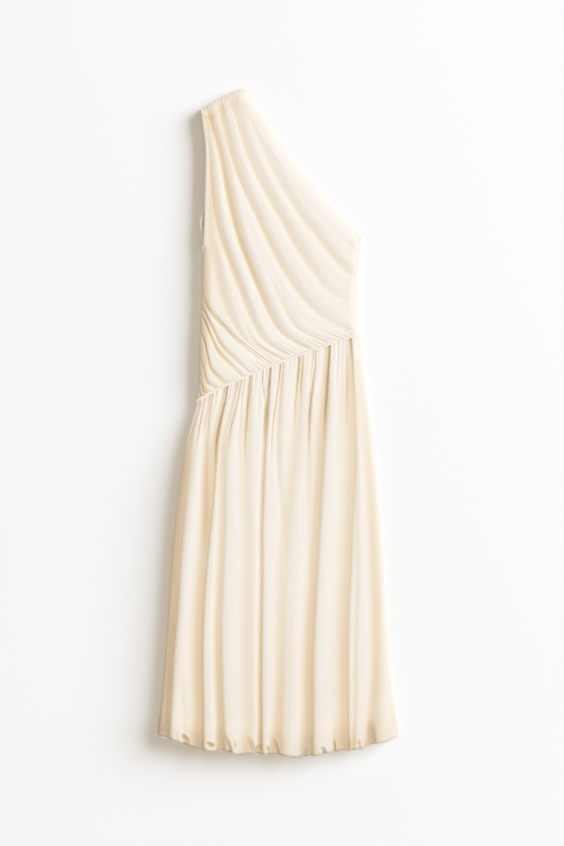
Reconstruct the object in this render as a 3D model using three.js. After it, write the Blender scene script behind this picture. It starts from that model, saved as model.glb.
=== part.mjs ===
// One-shoulder dress in fine cream jersey, laid flat with its front up.
// Sizes are in millimetres. X runs to the right of the laid dress, Y to the shoulder, Z up from the table.
import * as THREE from "three";

// Cloth and how close its pieces lie.
const CLOTH_THICK = 1.3;
const TURNED_EDGE_THICK = 2.3;
const STEEPEST_WALL = 2.9;
const PIECE_GAP = 0.3;
const BACK_TOP = 1.3;
const FRONT_FLOOR = BACK_TOP + PIECE_GAP + 0.05;

// Heights of the laid layers above the table.
const SIDE_SEAM_TOP = 3.2;
const SHOULDER_TOP = 4.4;
const NECK_TOP = 5.2;
const ARMHOLE_TOP = 8.4;
const WAIST_TOP = 9.4;
const BODICE_CREST = 12.6;
const SKIRT_CREST = 18;
const SKIRT_RIGHT_CREST = 14.5;
const LOWEST_INSIDE = 5.9;
const LOWEST_AT_HEM = 9.9;

// How far in from each edge the cloth takes to reach its full height.
const NECK_ROLL = 27;
const ARMHOLE_ROLL = 13;
const SHOULDER_ROLL = 20;
const SIDE_ROLL = 15;
const WAIST_ROLL = 26;
const SKIRT_LEFT_ROLL = 34;
const SKIRT_RIGHT_ROLL = 36;
const SKIRT_TOP_ROLL = 30;
const SKIRT_RISE = 150;
const EDGE_FALL = 0.72;

// The skirt lies lower between these rows, at its right. Its lowest folds rise towards the hem.
const RIGHT_ROWS = { from: 9, to: 12.6 };
const HEM_RISE = { from: 0.86, to: 0.97 };

// The hollows fade out towards the sides and the shoulder, and lie a little to the left of their rows.
const FOLD_FADE = { side: 9, shoulderFrom: 2, shoulderTo: 24, kept: 0.12, skirtSide: 12, sideFloor: 26 };
const BODICE_ASIDE = 6;
const SKIRT_ASIDE = 2;

// The gathered seam at the waist: half its width, and how far it stands over and under the cloth beside it.
const WAIST_SEAM_HALF = 2.4;
const WAIST_SEAM_OVER = 0.9;
const WAIST_SEAM_UNDER = 3.2;

// Curves that bound the panels, each a short bow through three named points.
const WAIST_LINE = { left: [-155.8, 39.9], bend: [-87.4, 85.5], right: [153.9, 168.2] };
const SHOULDER_LINE = { left: [-147.3, 595.7], bend: [-72.2, 640.3], right: [-59.9, 635.6] };
const RIGHT_SEAM = [
  { share: 0, x: 153.9, y: 168.2 },
  { share: 0.25, x: 150.1, y: 214.7 },
  { share: 0.5, x: 150.7, y: 262.2 },
  { share: 1, x: 158.7, y: 356.3 },
];

// The lie of the bodice folds. Rows 0 to 8 start at the shoulder, rows below 0 at the left seam.
// Each row runs by chest, bust, ribs and low points to its place on the waist line or the right seam.
const BODICE_LIE = [
  { row: -5, ribs: [-155.8, 39.9], low: [-155.8, 39.9], waist: 0, gathers: 6 },
  { row: -4, ribs: [-150.5, 74.1], low: [-141.6, 62.7], waist: 0.16, gathers: 5 },
  { row: -3, ribs: [-150.1, 134.9], low: [-131.1, 98.8], waist: 0.29, gathers: 5 },
  { row: -2, ribs: [-147.6, 191.9], low: [-117.8, 136.8], waist: 0.42, gathers: 4 },
  { row: -1, ribs: [-145.9, 222.3], low: [-106.4, 161.5], waist: 0.51, gathers: 3 },
  { row: 0, top: 0, chest: [-137.4, 509.2], bust: [-140, 395.2], ribs: [-145.4, 252.7], low: [-93.1, 174.8],
    waist: 0.58, gathers: 3 },
  { row: 1, top: 0.035, chest: [-134, 509.2], bust: [-124.5, 391.4], ribs: [-104.5, 266], low: [-60.8, 157.7],
    waist: 0.65, gathers: 3 },
  { row: 2, top: 0.07, chest: [-125, 503.5], bust: [-112.1, 391.4], ribs: [-74.1, 271.7], low: [-24.7, 161.5],
    waist: 0.71, gathers: 4 },
  { row: 3, top: 0.12, chest: [-104.5, 503.5], bust: [-79.8, 391.4], ribs: [-39.9, 273.6], low: [11.4, 171],
    waist: 0.8, gathers: 4 },
  { row: 4, top: 0.2, chest: [-93.1, 503.5], bust: [-57, 389.5], ribs: [-9.5, 277.4], low: [45.6, 178.6],
    waist: 0.89, gathers: 5 },
  { row: 5, top: 0.29, chest: [-80.8, 503.5], bust: [-34.2, 389.5], ribs: [20.9, 283.1], low: [81.7, 210.9],
    waist: 1, side: 0, gathers: 6 },
  { row: 6, top: 0.5, chest: [-49.4, 503.5], bust: [9.5, 391.4], ribs: [62.7, 300.2], low: [106.4, 250.8],
    side: 0.33, gathers: 5 },
  { row: 7, top: 0.71, chest: [-15.2, 503.5], bust: [47.5, 397.1], ribs: [93.1, 338.2], low: [125.4, 298.3],
    side: 0.6, gathers: 7 },
  { row: 8, top: 1, chest: [22.8, 512], bust: [83.6, 437], ribs: [114, 403.8], low: [136.8, 381],
    side: 1, gathers: 0 },
];
const STATION = { top: 0, chest: 0.2, bust: 0.4, ribs: 0.62, low: 0.82, end: 1 };

// Hollows between the folds of the bodice front: their row, how far they reach to the left and right,
// and their depth at start, middle and end.
const BODICE_HOLLOWS = [
  { row: -4, left: 8, right: 10, start: 1.8, middle: 2.4, end: 1, from: 0.62, to: 1 },
  { row: -3, left: 9, right: 12, start: 3, middle: 3.2, end: 1.6, from: 0.62, to: 1 },
  { row: -2, left: 9, right: 12, start: 3.6, middle: 3.8, end: 1.8, from: 0.62, to: 1 },
  { row: -1, left: 8, right: 11, start: 3.6, middle: 4, end: 1.8, from: 0.62, to: 1 },
  { row: 0.05, left: 8, right: 14, start: 3.6, middle: 4.2, end: 1.6, from: 0.63, to: 0.97 },
  { row: 1, left: 14, right: 16, start: 0.4, middle: 3.2, end: 1.6, from: 0.22, to: 0.97 },
  { row: 2, left: 14, right: 17, start: 1.2, middle: 4, end: 1.8, from: 0.06, to: 0.98 },
  { row: 3, left: 13, right: 18, start: 3, middle: 5.4, end: 2, from: 0, to: 0.99 },
  { row: 4, left: 9, right: 14, start: 0, middle: 2.2, end: 1.2, from: 0.58, to: 0.99 },
  { row: 5, left: 15, right: 22, start: 2.4, middle: 3.4, end: 1.4, from: 0, to: 0.98 },
  { row: 6, left: 15, right: 22, start: 2.6, middle: 3.2, end: 0.8, from: 0, to: 0.92 },
  { row: 7, left: 15, right: 20, start: 1.2, middle: 3, end: 1.8, from: 0.04, to: 0.99 },
  { row: 7.55, left: 8, right: 11, start: 0.2, middle: 1, end: 1, from: 0.66, to: 0.98 },
];

// The lie of the skirt folds, from the waist line down to the hem at three heights and the hem point.
const SKIRT_LEVEL = { high: -51.3, middle: -241.3, low: -431.3 };
const SKIRT_LIE = [
  { row: 0, waist: 0, high: -177.7, middle: -201.4, low: -214.3, hem: [-229.9, -598.5], gathers: 2 },
  { row: 1, waist: 0.08, high: -160.6, middle: -174.8, low: -191, hem: [-195.7, -605.5], gathers: 3 },
  { row: 2, waist: 0.18, high: -137.8, middle: -142.5, low: -148.2, hem: [-146.3, -624], gathers: 7 },
  { row: 3, waist: 0.377, high: -101.7, middle: -106.4, low: -112.1, hem: [-106.4, -626.5], gathers: 4 },
  { row: 4, waist: 0.476, high: -60.8, middle: -58.9, low: -58.9, hem: [-55.1, -633], gathers: 6 },
  { row: 5, waist: 0.595, high: -24.7, middle: -31.4, low: -32.3, hem: [-32.3, -632.5], gathers: 3 },
  { row: 6, waist: 0.66, high: -1.9, middle: 7.6, low: 5.7, hem: [-1.9, -634], gathers: 4 },
  { row: 7, waist: 0.74, high: 34.2, middle: 33, low: 30.4, hem: [26.6, -635.5], gathers: 4 },
  { row: 8, waist: 0.805, high: 55.1, middle: 51.3, low: 52.3, hem: [52.3, -637.5], gathers: 4 },
  { row: 9, waist: 0.871, high: 82.7, middle: 71.3, low: 72.2, hem: [72.2, -634.5], gathers: 4 },
  { row: 10, waist: 0.935, high: 114, middle: 110.2, low: 106.4, hem: [108.3, -627], gathers: 2 },
  { row: 11, waist: 0.965, high: 143, middle: 135.9, low: 129.2, hem: [133, -626.5], gathers: 1 },
  { row: 12, waist: 0.985, high: 170, middle: 180.5, low: 186.2, hem: [176.7, -616], gathers: 1 },
  { row: 13, waist: 1, high: 182.4, middle: 199.5, low: 209, hem: [229.9, -598.5], gathers: 0 },
];

// Hollows between the folds of the skirt front: depth near the waist, half way down and at the hem.
// Some move to another row on their way down, between two shares of their length.
const SKIRT_DRIFT = { from: 0.1, to: 0.62 };
const LATE_DRIFT = { from: 0.42, to: 0.82 };
const SKIRT_HOLLOWS = [
  { row: 0.5, rowEnd: 0.62, left: 12, right: 15, start: 0.6, middle: 3.6, end: 4.6, from: 0.03, to: 1 },
  { row: 2, left: 14, right: 12, start: 3, middle: 3, end: 0, from: 0, to: 0.47 },
  { row: 2.6, rowEnd: 2, left: 24, right: 16, start: 4, middle: 5.4, end: 5.6, from: 0, to: 1 },
  { row: 3, left: 16, right: 16, start: 3, middle: 4.4, end: 5.6, from: 0, to: 1 },
  { row: 4, left: 20, right: 18, start: 3, middle: 2.4, end: 2.4, from: 0, to: 1 },
  { row: 5, left: 11, right: 12, start: 4.8, middle: 5, end: 6.2, from: 0, to: 1 },
  { row: 7.1, rowEnd: 6, left: 20, right: 22, start: 3, middle: 2.8, end: 4.6, from: 0, to: 1 },
  { row: 8, left: 13, right: 13, start: 3, middle: 2.2, end: 0, from: 0, to: 0.48 },
  { row: 9.05, rowEnd: 8.5, left: 24, right: 18, start: 4.6, middle: 5, end: 5.6, from: 0, to: 1, late: true },
  { row: 10, left: 7, right: 7, start: 0, middle: 1, end: 2.4, from: 0.9, to: 1 },
  { row: 11.1, rowEnd: 11, left: 28, right: 14, start: 4, middle: 4.6, end: 4.8, from: 0.02, to: 1 },
  { row: 12, left: 20, right: 26, start: 1.2, middle: 3.6, end: 4, from: 0.06, to: 1 },
];

// Grooves of the backs, open to the table, between wide bands that lie flat on it.
const SKIRT_BACK_GROOVES = [
  { row: 1.6, left: 8, right: 8, start: 1.2, middle: 2.4, end: 0.8, from: 0.05, to: 0.9 },
  { row: 2.9, left: 7, right: 7, start: 2, middle: 2, end: 1.2, from: 0.03, to: 0.86 },
  { row: 4.2, left: 9, right: 9, start: 1.6, middle: 2.6, end: 1, from: 0.03, to: 0.92 },
  { row: 5.1, left: 6, right: 6, start: 2.2, middle: 1.4, end: 0, from: 0.03, to: 0.5 },
  { row: 7.7, left: 8, right: 8, start: 2, middle: 2.4, end: 0.9, from: 0.03, to: 0.9 },
  { row: 9, left: 7, right: 7, start: 1.4, middle: 1.8, end: 0.4, from: 0.03, to: 0.72 },
  { row: 10.2, left: 9, right: 9, start: 1.8, middle: 2.5, end: 1.4, from: 0.04, to: 0.93 },
  { row: 11.4, left: 8, right: 8, start: 1, middle: 2.2, end: 1.2, from: 0.12, to: 0.9 },
];
const BODICE_BACK_GROOVES = [
  { row: -2, left: 8, right: 8, start: 0.8, middle: 1.6, end: 1.2, from: 0.66, to: 0.97 },
  { row: -0.4, left: 8, right: 8, start: 0.8, middle: 1.8, end: 1.2, from: 0.66, to: 0.97 },
  { row: 1.5, left: 10, right: 10, start: 0.6, middle: 1.8, end: 1, from: 0.12, to: 0.96 },
  { row: 3, left: 10, right: 10, start: 1, middle: 1.8, end: 1, from: 0.08, to: 0.97 },
  { row: 4.6, left: 11, right: 11, start: 1, middle: 1.8, end: 0.8, from: 0.08, to: 0.95 },
  { row: 6.1, left: 12, right: 12, start: 0.8, middle: 1.8, end: 0.8, from: 0.1, to: 0.93 },
  { row: 7.1, left: 10, right: 10, start: 0.4, middle: 1.6, end: 0.8, from: 0.2, to: 0.94 },
];

// Fine gathers along the seams: depth of each and how far it runs from its seam.
const WAIST_GATHER = { depth: 2.6, shortest: 14, longest: 62 };
const BODICE_GATHER = { depth: 1.7, shortest: 12, longest: 34 };
const SIDE_GATHER = { depth: 1.3, shortest: 8, longest: 20 };
const BACK_GATHER = { depth: 1.1, shortest: 12, longest: 34 };
const BACK_GATHER_SHARE = 0.6;
const SHOULDER_GATHER = { depth: 1.3, count: 22, shortest: 12, longest: 34 };
const SHOULDER_GATHER_ENDS = { whole: 0.55, none: 0.7, lastWay: 0.3 };
const WEAKEST_GATHER = 0.65;

// Ways at which each panel has a course of points. The bodice rows past the shoulder start at the ribs.
const BODICE_UPPER = [0.075, 0.13, 0.2, 0.27, 0.34, 0.41, 0.48, 0.55];
const BODICE_LOWER = [0.62, 0.67, 0.72, 0.77, 0.82, 0.87];
const BODICE_AT_SEAM = [0.92, 0.965, 1];
const BACK_UPPER = [0, 0.06, 0.13, 0.2, 0.27, 0.32, 0.36, 0.4, 0.44, 0.48, 0.55];
const BACK_LOWER = [0.62, 0.69, 0.76, 0.83, 0.9, 0.96, 1];
const SKIRT_AT_SEAM = [0, 0.02, 0.055];
const SKIRT_COURSES = [0.1, 0.165, 0.25, 0.35, 0.46, 0.57, 0.68, 0.78, 0.86, 0.92, 0.965];
const SKIRT_STEPS = [4, 6, 6, 6, 4, 6, 4, 4, 4, 6, 4, 6, 4];
const SKIRT_BACK_AT_SEAM = [0, 0.03];
const SKIRT_BACK_COURSES = [0.07, 0.13, 0.21, 0.31, 0.42, 0.54, 0.66, 0.78, 0.88, 0.95];
const SHOULDER_POINTS = 57;
const SEAM_STEPS = { front: 92, back: 30, first: 0.004, last: 0.996 };

// Grooves of the backs: their rows are measured at one way, a short reach to each side.
const GROOVE_ROWS = { way: 0.75, reach: 0.1, share: 0.2, clear: 0.16 };

// Row numbers of the panels' ends, and a little inside them, where slopes are measured.
const BODICE_ENDS = { first: -5, shoulder: 0, last: 8 };
const SKIRT_LAST = 13;
const END_INSET = 0.05;
const SLOPE_REACH = 0.04;

// The hem is blown out and turned in. Its turn is round and its loose end lies inside.
const HEM_RETURN = 22;
const HEM_TURN_LARGEST = 6.4;
const HEM_RETURN_FLOOR = 6.3;
const HEM_TURN_FROM = 0.55;
const HEM_TURN_TO = 12.55;
const HEM_TURN_SMALLEST = 1.7;
const HEM_PUFF = { height: 1.8, from: 0.9, full: 0.965, fall: 0.975, end: 1.02, side: 20 };
const HEM_NOTCH = 0.8;
const HEM_WALL = 1.5;
const BACK_HEM_TURN = 2.1;
const BACK_HEM_RETURN = 18;

// The back armhole shows as a small bow past the front edge.
const BACK_ARMHOLE_BOW = { out: 8.5, at: 381, reach: 26, lastRow: 2.4, lastWay: 0.6 };

const clamp = (value, low, high) => Math.min(high, Math.max(low, value));
const mix = (a, b, share) => a + (b - a) * share;
const ease = (low, high, value) => {
  const share = clamp((value - low) / (high - low), 0, 1);
  return share * share * (3 - 2 * share);
};
const uneven = (index, kind) => {
  const wave = Math.sin(index * 12.9898 + kind * 78.233) * 43758.5453;
  return wave - Math.floor(wave);
};
const roll = (distance, reach) => {
  const rest = clamp(1 - distance / reach, 0, 1);
  return (1 - rest * rest) ** EDGE_FALL;
};

// Slope at a table value that never overshoots its neighbours.
function slopeAt(places, values, index) {
  const last = places.length - 1;
  const rise = (i) => (values[i + 1] - values[i]) / (places[i + 1] - places[i]);
  if (index === 0) return rise(0);
  if (index === last) return rise(last - 1);
  const before = rise(index - 1);
  const after = rise(index);
  if (before * after <= 0) return 0;
  return (2 * before * after) / (before + after);
}

// Smooth value between the rows of a table.
function between(places, values, place, firstSlope) {
  const at = clamp(place, places[0], places[places.length - 1]);
  let i = 0;
  while (i < places.length - 2 && at > places[i + 1]) i += 1;
  const span = places[i + 1] - places[i];
  const s = (at - places[i]) / span;
  const slopeA = i === 0 && firstSlope !== undefined ? firstSlope : slopeAt(places, values, i);
  const slopeB = slopeAt(places, values, i + 1);
  return (1 + 2 * s) * (1 - s) ** 2 * values[i] + s * (1 - s) ** 2 * span * slopeA
    + s * s * (3 - 2 * s) * values[i + 1] + s * s * (s - 1) * span * slopeB;
}

function column(rows, pick, row) {
  return between(rows.map((r) => r.row), rows.map(pick), row);
}

function bow(line, share) {
  const value = (axis) => (1 - share) ** 2 * line.left[axis] + 2 * share * (1 - share) * line.bend[axis]
    + share * share * line.right[axis];
  return [value(0), value(1)];
}

// A point beside the waist line, on its bodice side when the offset is positive.
function besideWaist(share, offset) {
  const [x, y] = bow(WAIST_LINE, share);
  const [xa, ya] = bow(WAIST_LINE, share - 0.001);
  const [xb, yb] = bow(WAIST_LINE, share + 0.001);
  const length = Math.hypot(xb - xa, yb - ya);
  return [x - ((yb - ya) / length) * offset, y + ((xb - xa) / length) * offset];
}

function rightSeam(share) {
  const places = RIGHT_SEAM.map((r) => r.share);
  const end = besideWaist(1, WAIST_SEAM_HALF + PIECE_GAP);
  const xs = RIGHT_SEAM.map((r, i) => (i === 0 ? end[0] : r.x));
  const ys = RIGHT_SEAM.map((r, i) => (i === 0 ? end[1] : r.y));
  return [between(places, xs, share), between(places, ys, share)];
}

// Bodice plan: the row counts across the folds, and the way runs along them from 0 to 1.
const SHOULDER_ROWS = BODICE_LIE.filter((r) => r.row >= 0);
const WAIST_ROWS = BODICE_LIE.filter((r) => r.row <= 5);
const SIDE_ROWS = BODICE_LIE.filter((r) => r.row >= 5);
const CORNER = besideWaist(0, WAIST_SEAM_HALF + PIECE_GAP);

function bodiceStations(row) {
  const place = (r, name) => (r.row === BODICE_ENDS.first ? CORNER : r[name]);
  const spot = (rows, name) => [0, 1].map((axis) => column(rows, (r) => place(r, name)[axis], row));
  const end = row <= 5
    ? besideWaist(column(WAIST_ROWS, (r) => r.waist, row), WAIST_SEAM_HALF + PIECE_GAP)
    : rightSeam(column(SIDE_ROWS, (r) => r.side, row));
  const lower = [
    { way: STATION.ribs, spot: spot(BODICE_LIE, "ribs") },
    { way: STATION.low, spot: spot(BODICE_LIE, "low") },
    { way: STATION.end, spot: end },
  ];
  if (row < 0) return lower;
  return [
    { way: STATION.top, spot: bow(SHOULDER_LINE, column(SHOULDER_ROWS, (r) => r.top, row)) },
    { way: STATION.chest, spot: spot(SHOULDER_ROWS, "chest") },
    { way: STATION.bust, spot: spot(SHOULDER_ROWS, "bust") },
    ...lower,
  ];
}

const stationCache = new Map();
function stationsFor(row) {
  const key = row.toFixed(5);
  if (!stationCache.has(key)) stationCache.set(key, bodiceStations(row));
  return stationCache.get(key);
}

function bodicePlan(row, way) {
  if (row <= -5) return [...CORNER];
  const stations = stationsFor(row);
  const ways = stations.map((s) => s.way);
  return [0, 1].map((axis) => {
    const values = stations.map((s) => s.spot[axis]);
    if (row >= 0) return between(ways, values, way);
    const edge = stationsFor(0);
    const held = slopeAt(edge.map((s) => s.way), edge.map((s) => s.spot[axis]), 3);
    return between(ways, values, way, mix(held, slopeAt(ways, values, 0), clamp(-row, 0, 1)));
  });
}

// Skirt plan: the way runs from the waist line at 0 to the hem at 1.
function skirtPlan(row, way) {
  const start = besideWaist(column(SKIRT_LIE, (r) => r.waist, row), -(WAIST_SEAM_HALF + PIECE_GAP));
  const hem = [0, 1].map((axis) => column(SKIRT_LIE, (r) => r.hem[axis], row));
  const heights = [-start[1], -SKIRT_LEVEL.high, -SKIRT_LEVEL.middle, -SKIRT_LEVEL.low, -hem[1]];
  const xs = [start[0], column(SKIRT_LIE, (r) => r.high, row), column(SKIRT_LIE, (r) => r.middle, row),
    column(SKIRT_LIE, (r) => r.low, row), hem[0]];
  const y = mix(start[1], hem[1], way);
  return [between(heights, xs, -y), y];
}

// Outlines as chains of points, for distances to the edges.
function chain(count, at) {
  return Array.from({ length: count + 1 }, (_, i) => at(i / count));
}
function away(chainPoints, [x, y]) {
  let best = Infinity;
  for (let i = 0; i < chainPoints.length - 1; i += 1) {
    const [ax, ay] = chainPoints[i];
    const [bx, by] = chainPoints[i + 1];
    const length = (bx - ax) ** 2 + (by - ay) ** 2;
    const share = length > 0 ? clamp(((x - ax) * (bx - ax) + (y - ay) * (by - ay)) / length, 0, 1) : 0;
    best = Math.min(best, Math.hypot(x - mix(ax, bx, share), y - mix(ay, by, share)));
  }
  return best;
}
const EDGE = {
  shoulder: chain(24, (s) => bow(SHOULDER_LINE, s)),
  armhole: chain(30, (s) => bodicePlan(0, s * 0.5)),
  leftSeam: [...chain(10, (s) => bodicePlan(0, mix(0.5, STATION.ribs, s))),
    ...chain(40, (s) => bodicePlan(-5 * s, STATION.ribs))],
  neck: chain(50, (s) => bodicePlan(8, s)),
  rightSeam: chain(24, (s) => rightSeam(s)),
  waist: chain(60, (s) => bow(WAIST_LINE, s)),
  skirtLeft: chain(50, (s) => skirtPlan(0, s)),
  skirtRight: chain(50, (s) => skirtPlan(13, s)),
};

// Depth of the hollows at a spot, from a table of them and the plan that carries them.
function hollowDepth(table, plan, row, way, aside = 0) {
  const here = plan(row, way);
  return table.reduce((sum, hollow) => {
    if (way < hollow.from || way > hollow.to) return sum;
    const along = (way - hollow.from) / (hollow.to - hollow.from);
    const drift = hollow.late ? LATE_DRIFT : SKIRT_DRIFT;
    const bottom = mix(hollow.row, hollow.rowEnd ?? hollow.row, ease(drift.from, drift.to, along));
    if (Math.abs(row - bottom) > 2) return sum;
    const middle = plan(bottom, way);
    const toward = Math.sign(row - bottom) * Math.hypot(here[0] - middle[0], here[1] - middle[1]) + aside;
    const across = Math.abs(toward) / (toward < 0 ? hollow.left : hollow.right);
    if (across >= 1) return sum;
    const depth = between([0, 0.5, 1], [hollow.start, hollow.middle, hollow.end], along);
    return sum + depth * 0.5 * (1 + Math.cos(Math.PI * across));
  }, 0);
}

// Counts the fine gathers along a seam from the number in each row of its table.
function gatherCount(table, row) {
  let count = 0;
  for (const r of table) {
    if (row <= r.row) break;
    count += r.gathers * clamp(row - r.row, 0, 1);
  }
  return count;
}
function gatherDepth(count, distance, kind, seed) {
  const index = Math.floor(count);
  const reach = mix(kind.shortest, kind.longest, uneven(index, seed) ** 2);
  const strength = mix(WEAKEST_GATHER, 1, uneven(index, seed + 1));
  const fade = Math.exp(-distance / reach) * ease(2.6, 1.4, distance / kind.longest);
  return kind.depth * strength * Math.sin(Math.PI * (count - index)) ** 2 * fade;
}

// Top of the front bodice above the table.
function bodiceTop(row, way) {
  const spot = bodicePlan(row, way);
  const level = (edge, height, reach) => mix(height, BODICE_CREST, roll(away(edge, spot), reach));
  const crown = Math.min(
    level(EDGE.shoulder, SHOULDER_TOP, SHOULDER_ROLL),
    level(EDGE.armhole, ARMHOLE_TOP, ARMHOLE_ROLL),
    level(EDGE.leftSeam, SIDE_SEAM_TOP, SIDE_ROLL),
    level(EDGE.neck, NECK_TOP, NECK_ROLL),
    level(EDGE.rightSeam, SIDE_SEAM_TOP, SIDE_ROLL),
    level(EDGE.waist, WAIST_TOP, WAIST_ROLL),
  );
  const inside = Math.min(away(EDGE.leftSeam, spot), away(EDGE.rightSeam, spot), away(EDGE.neck, spot),
    away(EDGE.armhole, spot));
  const shoulderDistance = away(EDGE.shoulder, spot);
  const belowShoulder = ease(FOLD_FADE.shoulderFrom, FOLD_FADE.shoulderTo, shoulderDistance);
  const fade = ease(0, FOLD_FADE.side, inside) * belowShoulder;
  const hollow = hollowDepth(BODICE_HOLLOWS, bodicePlan, row, way, BODICE_ASIDE);
  let z = crown - hollow * mix(FOLD_FADE.kept, 1, fade);
  const toEnd = row <= 5 ? away(EDGE.waist, spot) : away(EDGE.rightSeam, spot);
  const seamKind = row <= 5 ? BODICE_GATHER : SIDE_GATHER;
  const fine = gatherDepth(gatherCount(BODICE_LIE, row), toEnd, seamKind, 3);
  if (way > STATION.ribs) z -= fine * ease(0, 5, inside + 1);
  if (row >= 0 && way < SHOULDER_GATHER_ENDS.lastWay) {
    const share = column(SHOULDER_ROWS, (r) => r.top, row);
    const held = ease(SHOULDER_GATHER_ENDS.none, SHOULDER_GATHER_ENDS.whole, share);
    z -= gatherDepth(share * SHOULDER_GATHER.count, shoulderDistance, SHOULDER_GATHER, 7) * held;
  }
  return Math.max(z, SIDE_SEAM_TOP);
}

// Top of the front skirt above the table.
function skirtTop(row, way) {
  const spot = skirtPlan(row, way);
  const waistDistance = away(EDGE.waist, spot);
  const rise = ease(0, SKIRT_RISE, waistDistance);
  const right = ease(RIGHT_ROWS.from, RIGHT_ROWS.to, row);
  const crest = mix(WAIST_TOP + 2, mix(SKIRT_CREST, SKIRT_RIGHT_CREST, right), rise);
  const leftRoll = mix(SIDE_ROLL, SKIRT_LEFT_ROLL, rise);
  const left = mix(SIDE_SEAM_TOP, crest, roll(away(EDGE.skirtLeft, spot), leftRoll));
  const rightRoll = mix(SIDE_ROLL, SKIRT_RIGHT_ROLL, rise);
  const rightSide = mix(SIDE_SEAM_TOP, crest, roll(away(EDGE.skirtRight, spot), rightRoll));
  const top = mix(WAIST_TOP, crest, roll(waistDistance, SKIRT_TOP_ROLL));
  const crown = Math.min(left, rightSide, top);
  const inside = Math.min(away(EDGE.skirtLeft, spot), away(EDGE.skirtRight, spot));
  const hollow = hollowDepth(SKIRT_HOLLOWS, skirtPlan, row, way, SKIRT_ASIDE);
  let z = crown - hollow * ease(0, FOLD_FADE.skirtSide, inside);
  z -= gatherDepth(gatherCount(SKIRT_LIE, row), waistDistance, WAIST_GATHER, 5) * ease(0, 5, inside + 1);
  const blown = ease(HEM_PUFF.from, HEM_PUFF.full, way) * ease(HEM_PUFF.end, HEM_PUFF.fall, way);
  z += HEM_PUFF.height * blown * ease(0, HEM_PUFF.side, inside);
  const lowest = mix(LOWEST_INSIDE, LOWEST_AT_HEM, ease(HEM_RISE.from, HEM_RISE.to, way));
  const least = mix(SIDE_SEAM_TOP, lowest, ease(0, FOLD_FADE.sideFloor, inside));
  return Math.max(z, least);
}

// Undersides of the backs above the table.
function skirtBackUnder(row, way) {
  const spot = skirtPlan(row, way);
  const inside = Math.min(away(EDGE.skirtLeft, spot), away(EDGE.skirtRight, spot));
  const hold = ease(10, 26, inside) * ease(0.99, 0.92, way);
  const count = gatherCount(SKIRT_LIE, row) * BACK_GATHER_SHARE;
  const fine = gatherDepth(count, away(EDGE.waist, spot), BACK_GATHER, 11);
  return (hollowDepth(SKIRT_BACK_GROOVES, skirtPlan, row, way) + fine) * hold;
}
function bodiceBackUnder(row, way) {
  const spot = bodicePlan(row, way);
  const edges = ["leftSeam", "armhole", "neck", "rightSeam", "shoulder"];
  const inside = Math.min(...edges.map((name) => away(EDGE[name], spot)));
  return hollowDepth(BODICE_BACK_GROOVES, bodicePlan, row, way) * ease(6, 18, inside);
}

// A closed surface from points and corner numbers, with its faces turned outwards.
function surface(points, index) {
  let volume = 0;
  for (let i = 0; i < index.length; i += 3) {
    const [a, b, c] = [points[index[i]], points[index[i + 1]], points[index[i + 2]]];
    volume += a[0] * (b[1] * c[2] - b[2] * c[1]) + a[1] * (b[2] * c[0] - b[0] * c[2])
      + a[2] * (b[0] * c[1] - b[1] * c[0]);
  }
  if (volume < 0) {
    for (let i = 0; i < index.length; i += 3) [index[i + 1], index[i + 2]] = [index[i + 2], index[i + 1]];
  }
  const geometry = new THREE.BufferGeometry();
  geometry.setAttribute("position", new THREE.Float32BufferAttribute(points.flat(), 3));
  geometry.setIndex(index);
  geometry.computeVertexNormals();
  return geometry;
}

// A wall of cloth. The outer points make one face, the offsets carry its other face.
class Cloth {
  constructor() {
    this.outer = [];
    this.inner = [];
    this.faces = [];
  }

  point(outer, offset) {
    this.outer.push(outer);
    this.inner.push(outer.map((value, axis) => value + offset[axis]));
    return this.outer.length - 1;
  }

  face(a, b, c) {
    if (a !== b && b !== c && c !== a) this.faces.push([a, b, c]);
  }

  // Joins two courses of points over the rows that they share.
  join(courseA, courseB) {
    const low = Math.max(courseA[0].row, courseB[0].row) - 1e-9;
    const high = Math.min(courseA[courseA.length - 1].row, courseB[courseB.length - 1].row) + 1e-9;
    const a = courseA.filter((p) => p.row >= low && p.row <= high);
    const b = courseB.filter((p) => p.row >= low && p.row <= high);
    let i = 0;
    let j = 0;
    while (i < a.length - 1 || j < b.length - 1) {
      const isBehind = () => a[i + 1].row + a[i].row <= b[j + 1].row + b[j].row;
      const stepA = j === b.length - 1 || (i < a.length - 1 && isBehind());
      if (stepA) {
        this.face(a[i].index, b[j].index, a[i + 1].index);
        i += 1;
      } else {
        this.face(a[i].index, b[j].index, b[j + 1].index);
        j += 1;
      }
    }
  }

  geometry() {
    const count = this.outer.length;
    const used = new Map();
    this.faces.forEach(([a, b, c]) => {
      [[a, b], [b, c], [c, a]].forEach(([p, q]) => used.set(`${p}_${q}`, [p, q]));
    });
    const index = [];
    this.faces.forEach(([a, b, c]) => index.push(a, b, c, count + a, count + c, count + b));
    used.forEach(([p, q]) => {
      if (!used.has(`${q}_${p}`)) index.push(q, p, count + p, q, count + p, count + q);
    });
    return surface([...this.outer, ...this.inner], index);
  }
}

// Rows of points across a panel: so many steps in each row of its table.
function steps(from, to, perRow) {
  const rows = [];
  for (let r = from; r < to - 1e-9; r += 1) {
    const count = perRow(r);
    for (let i = 0; i < count; i += 1) rows.push(r + i / count);
  }
  return [...rows, to];
}

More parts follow.
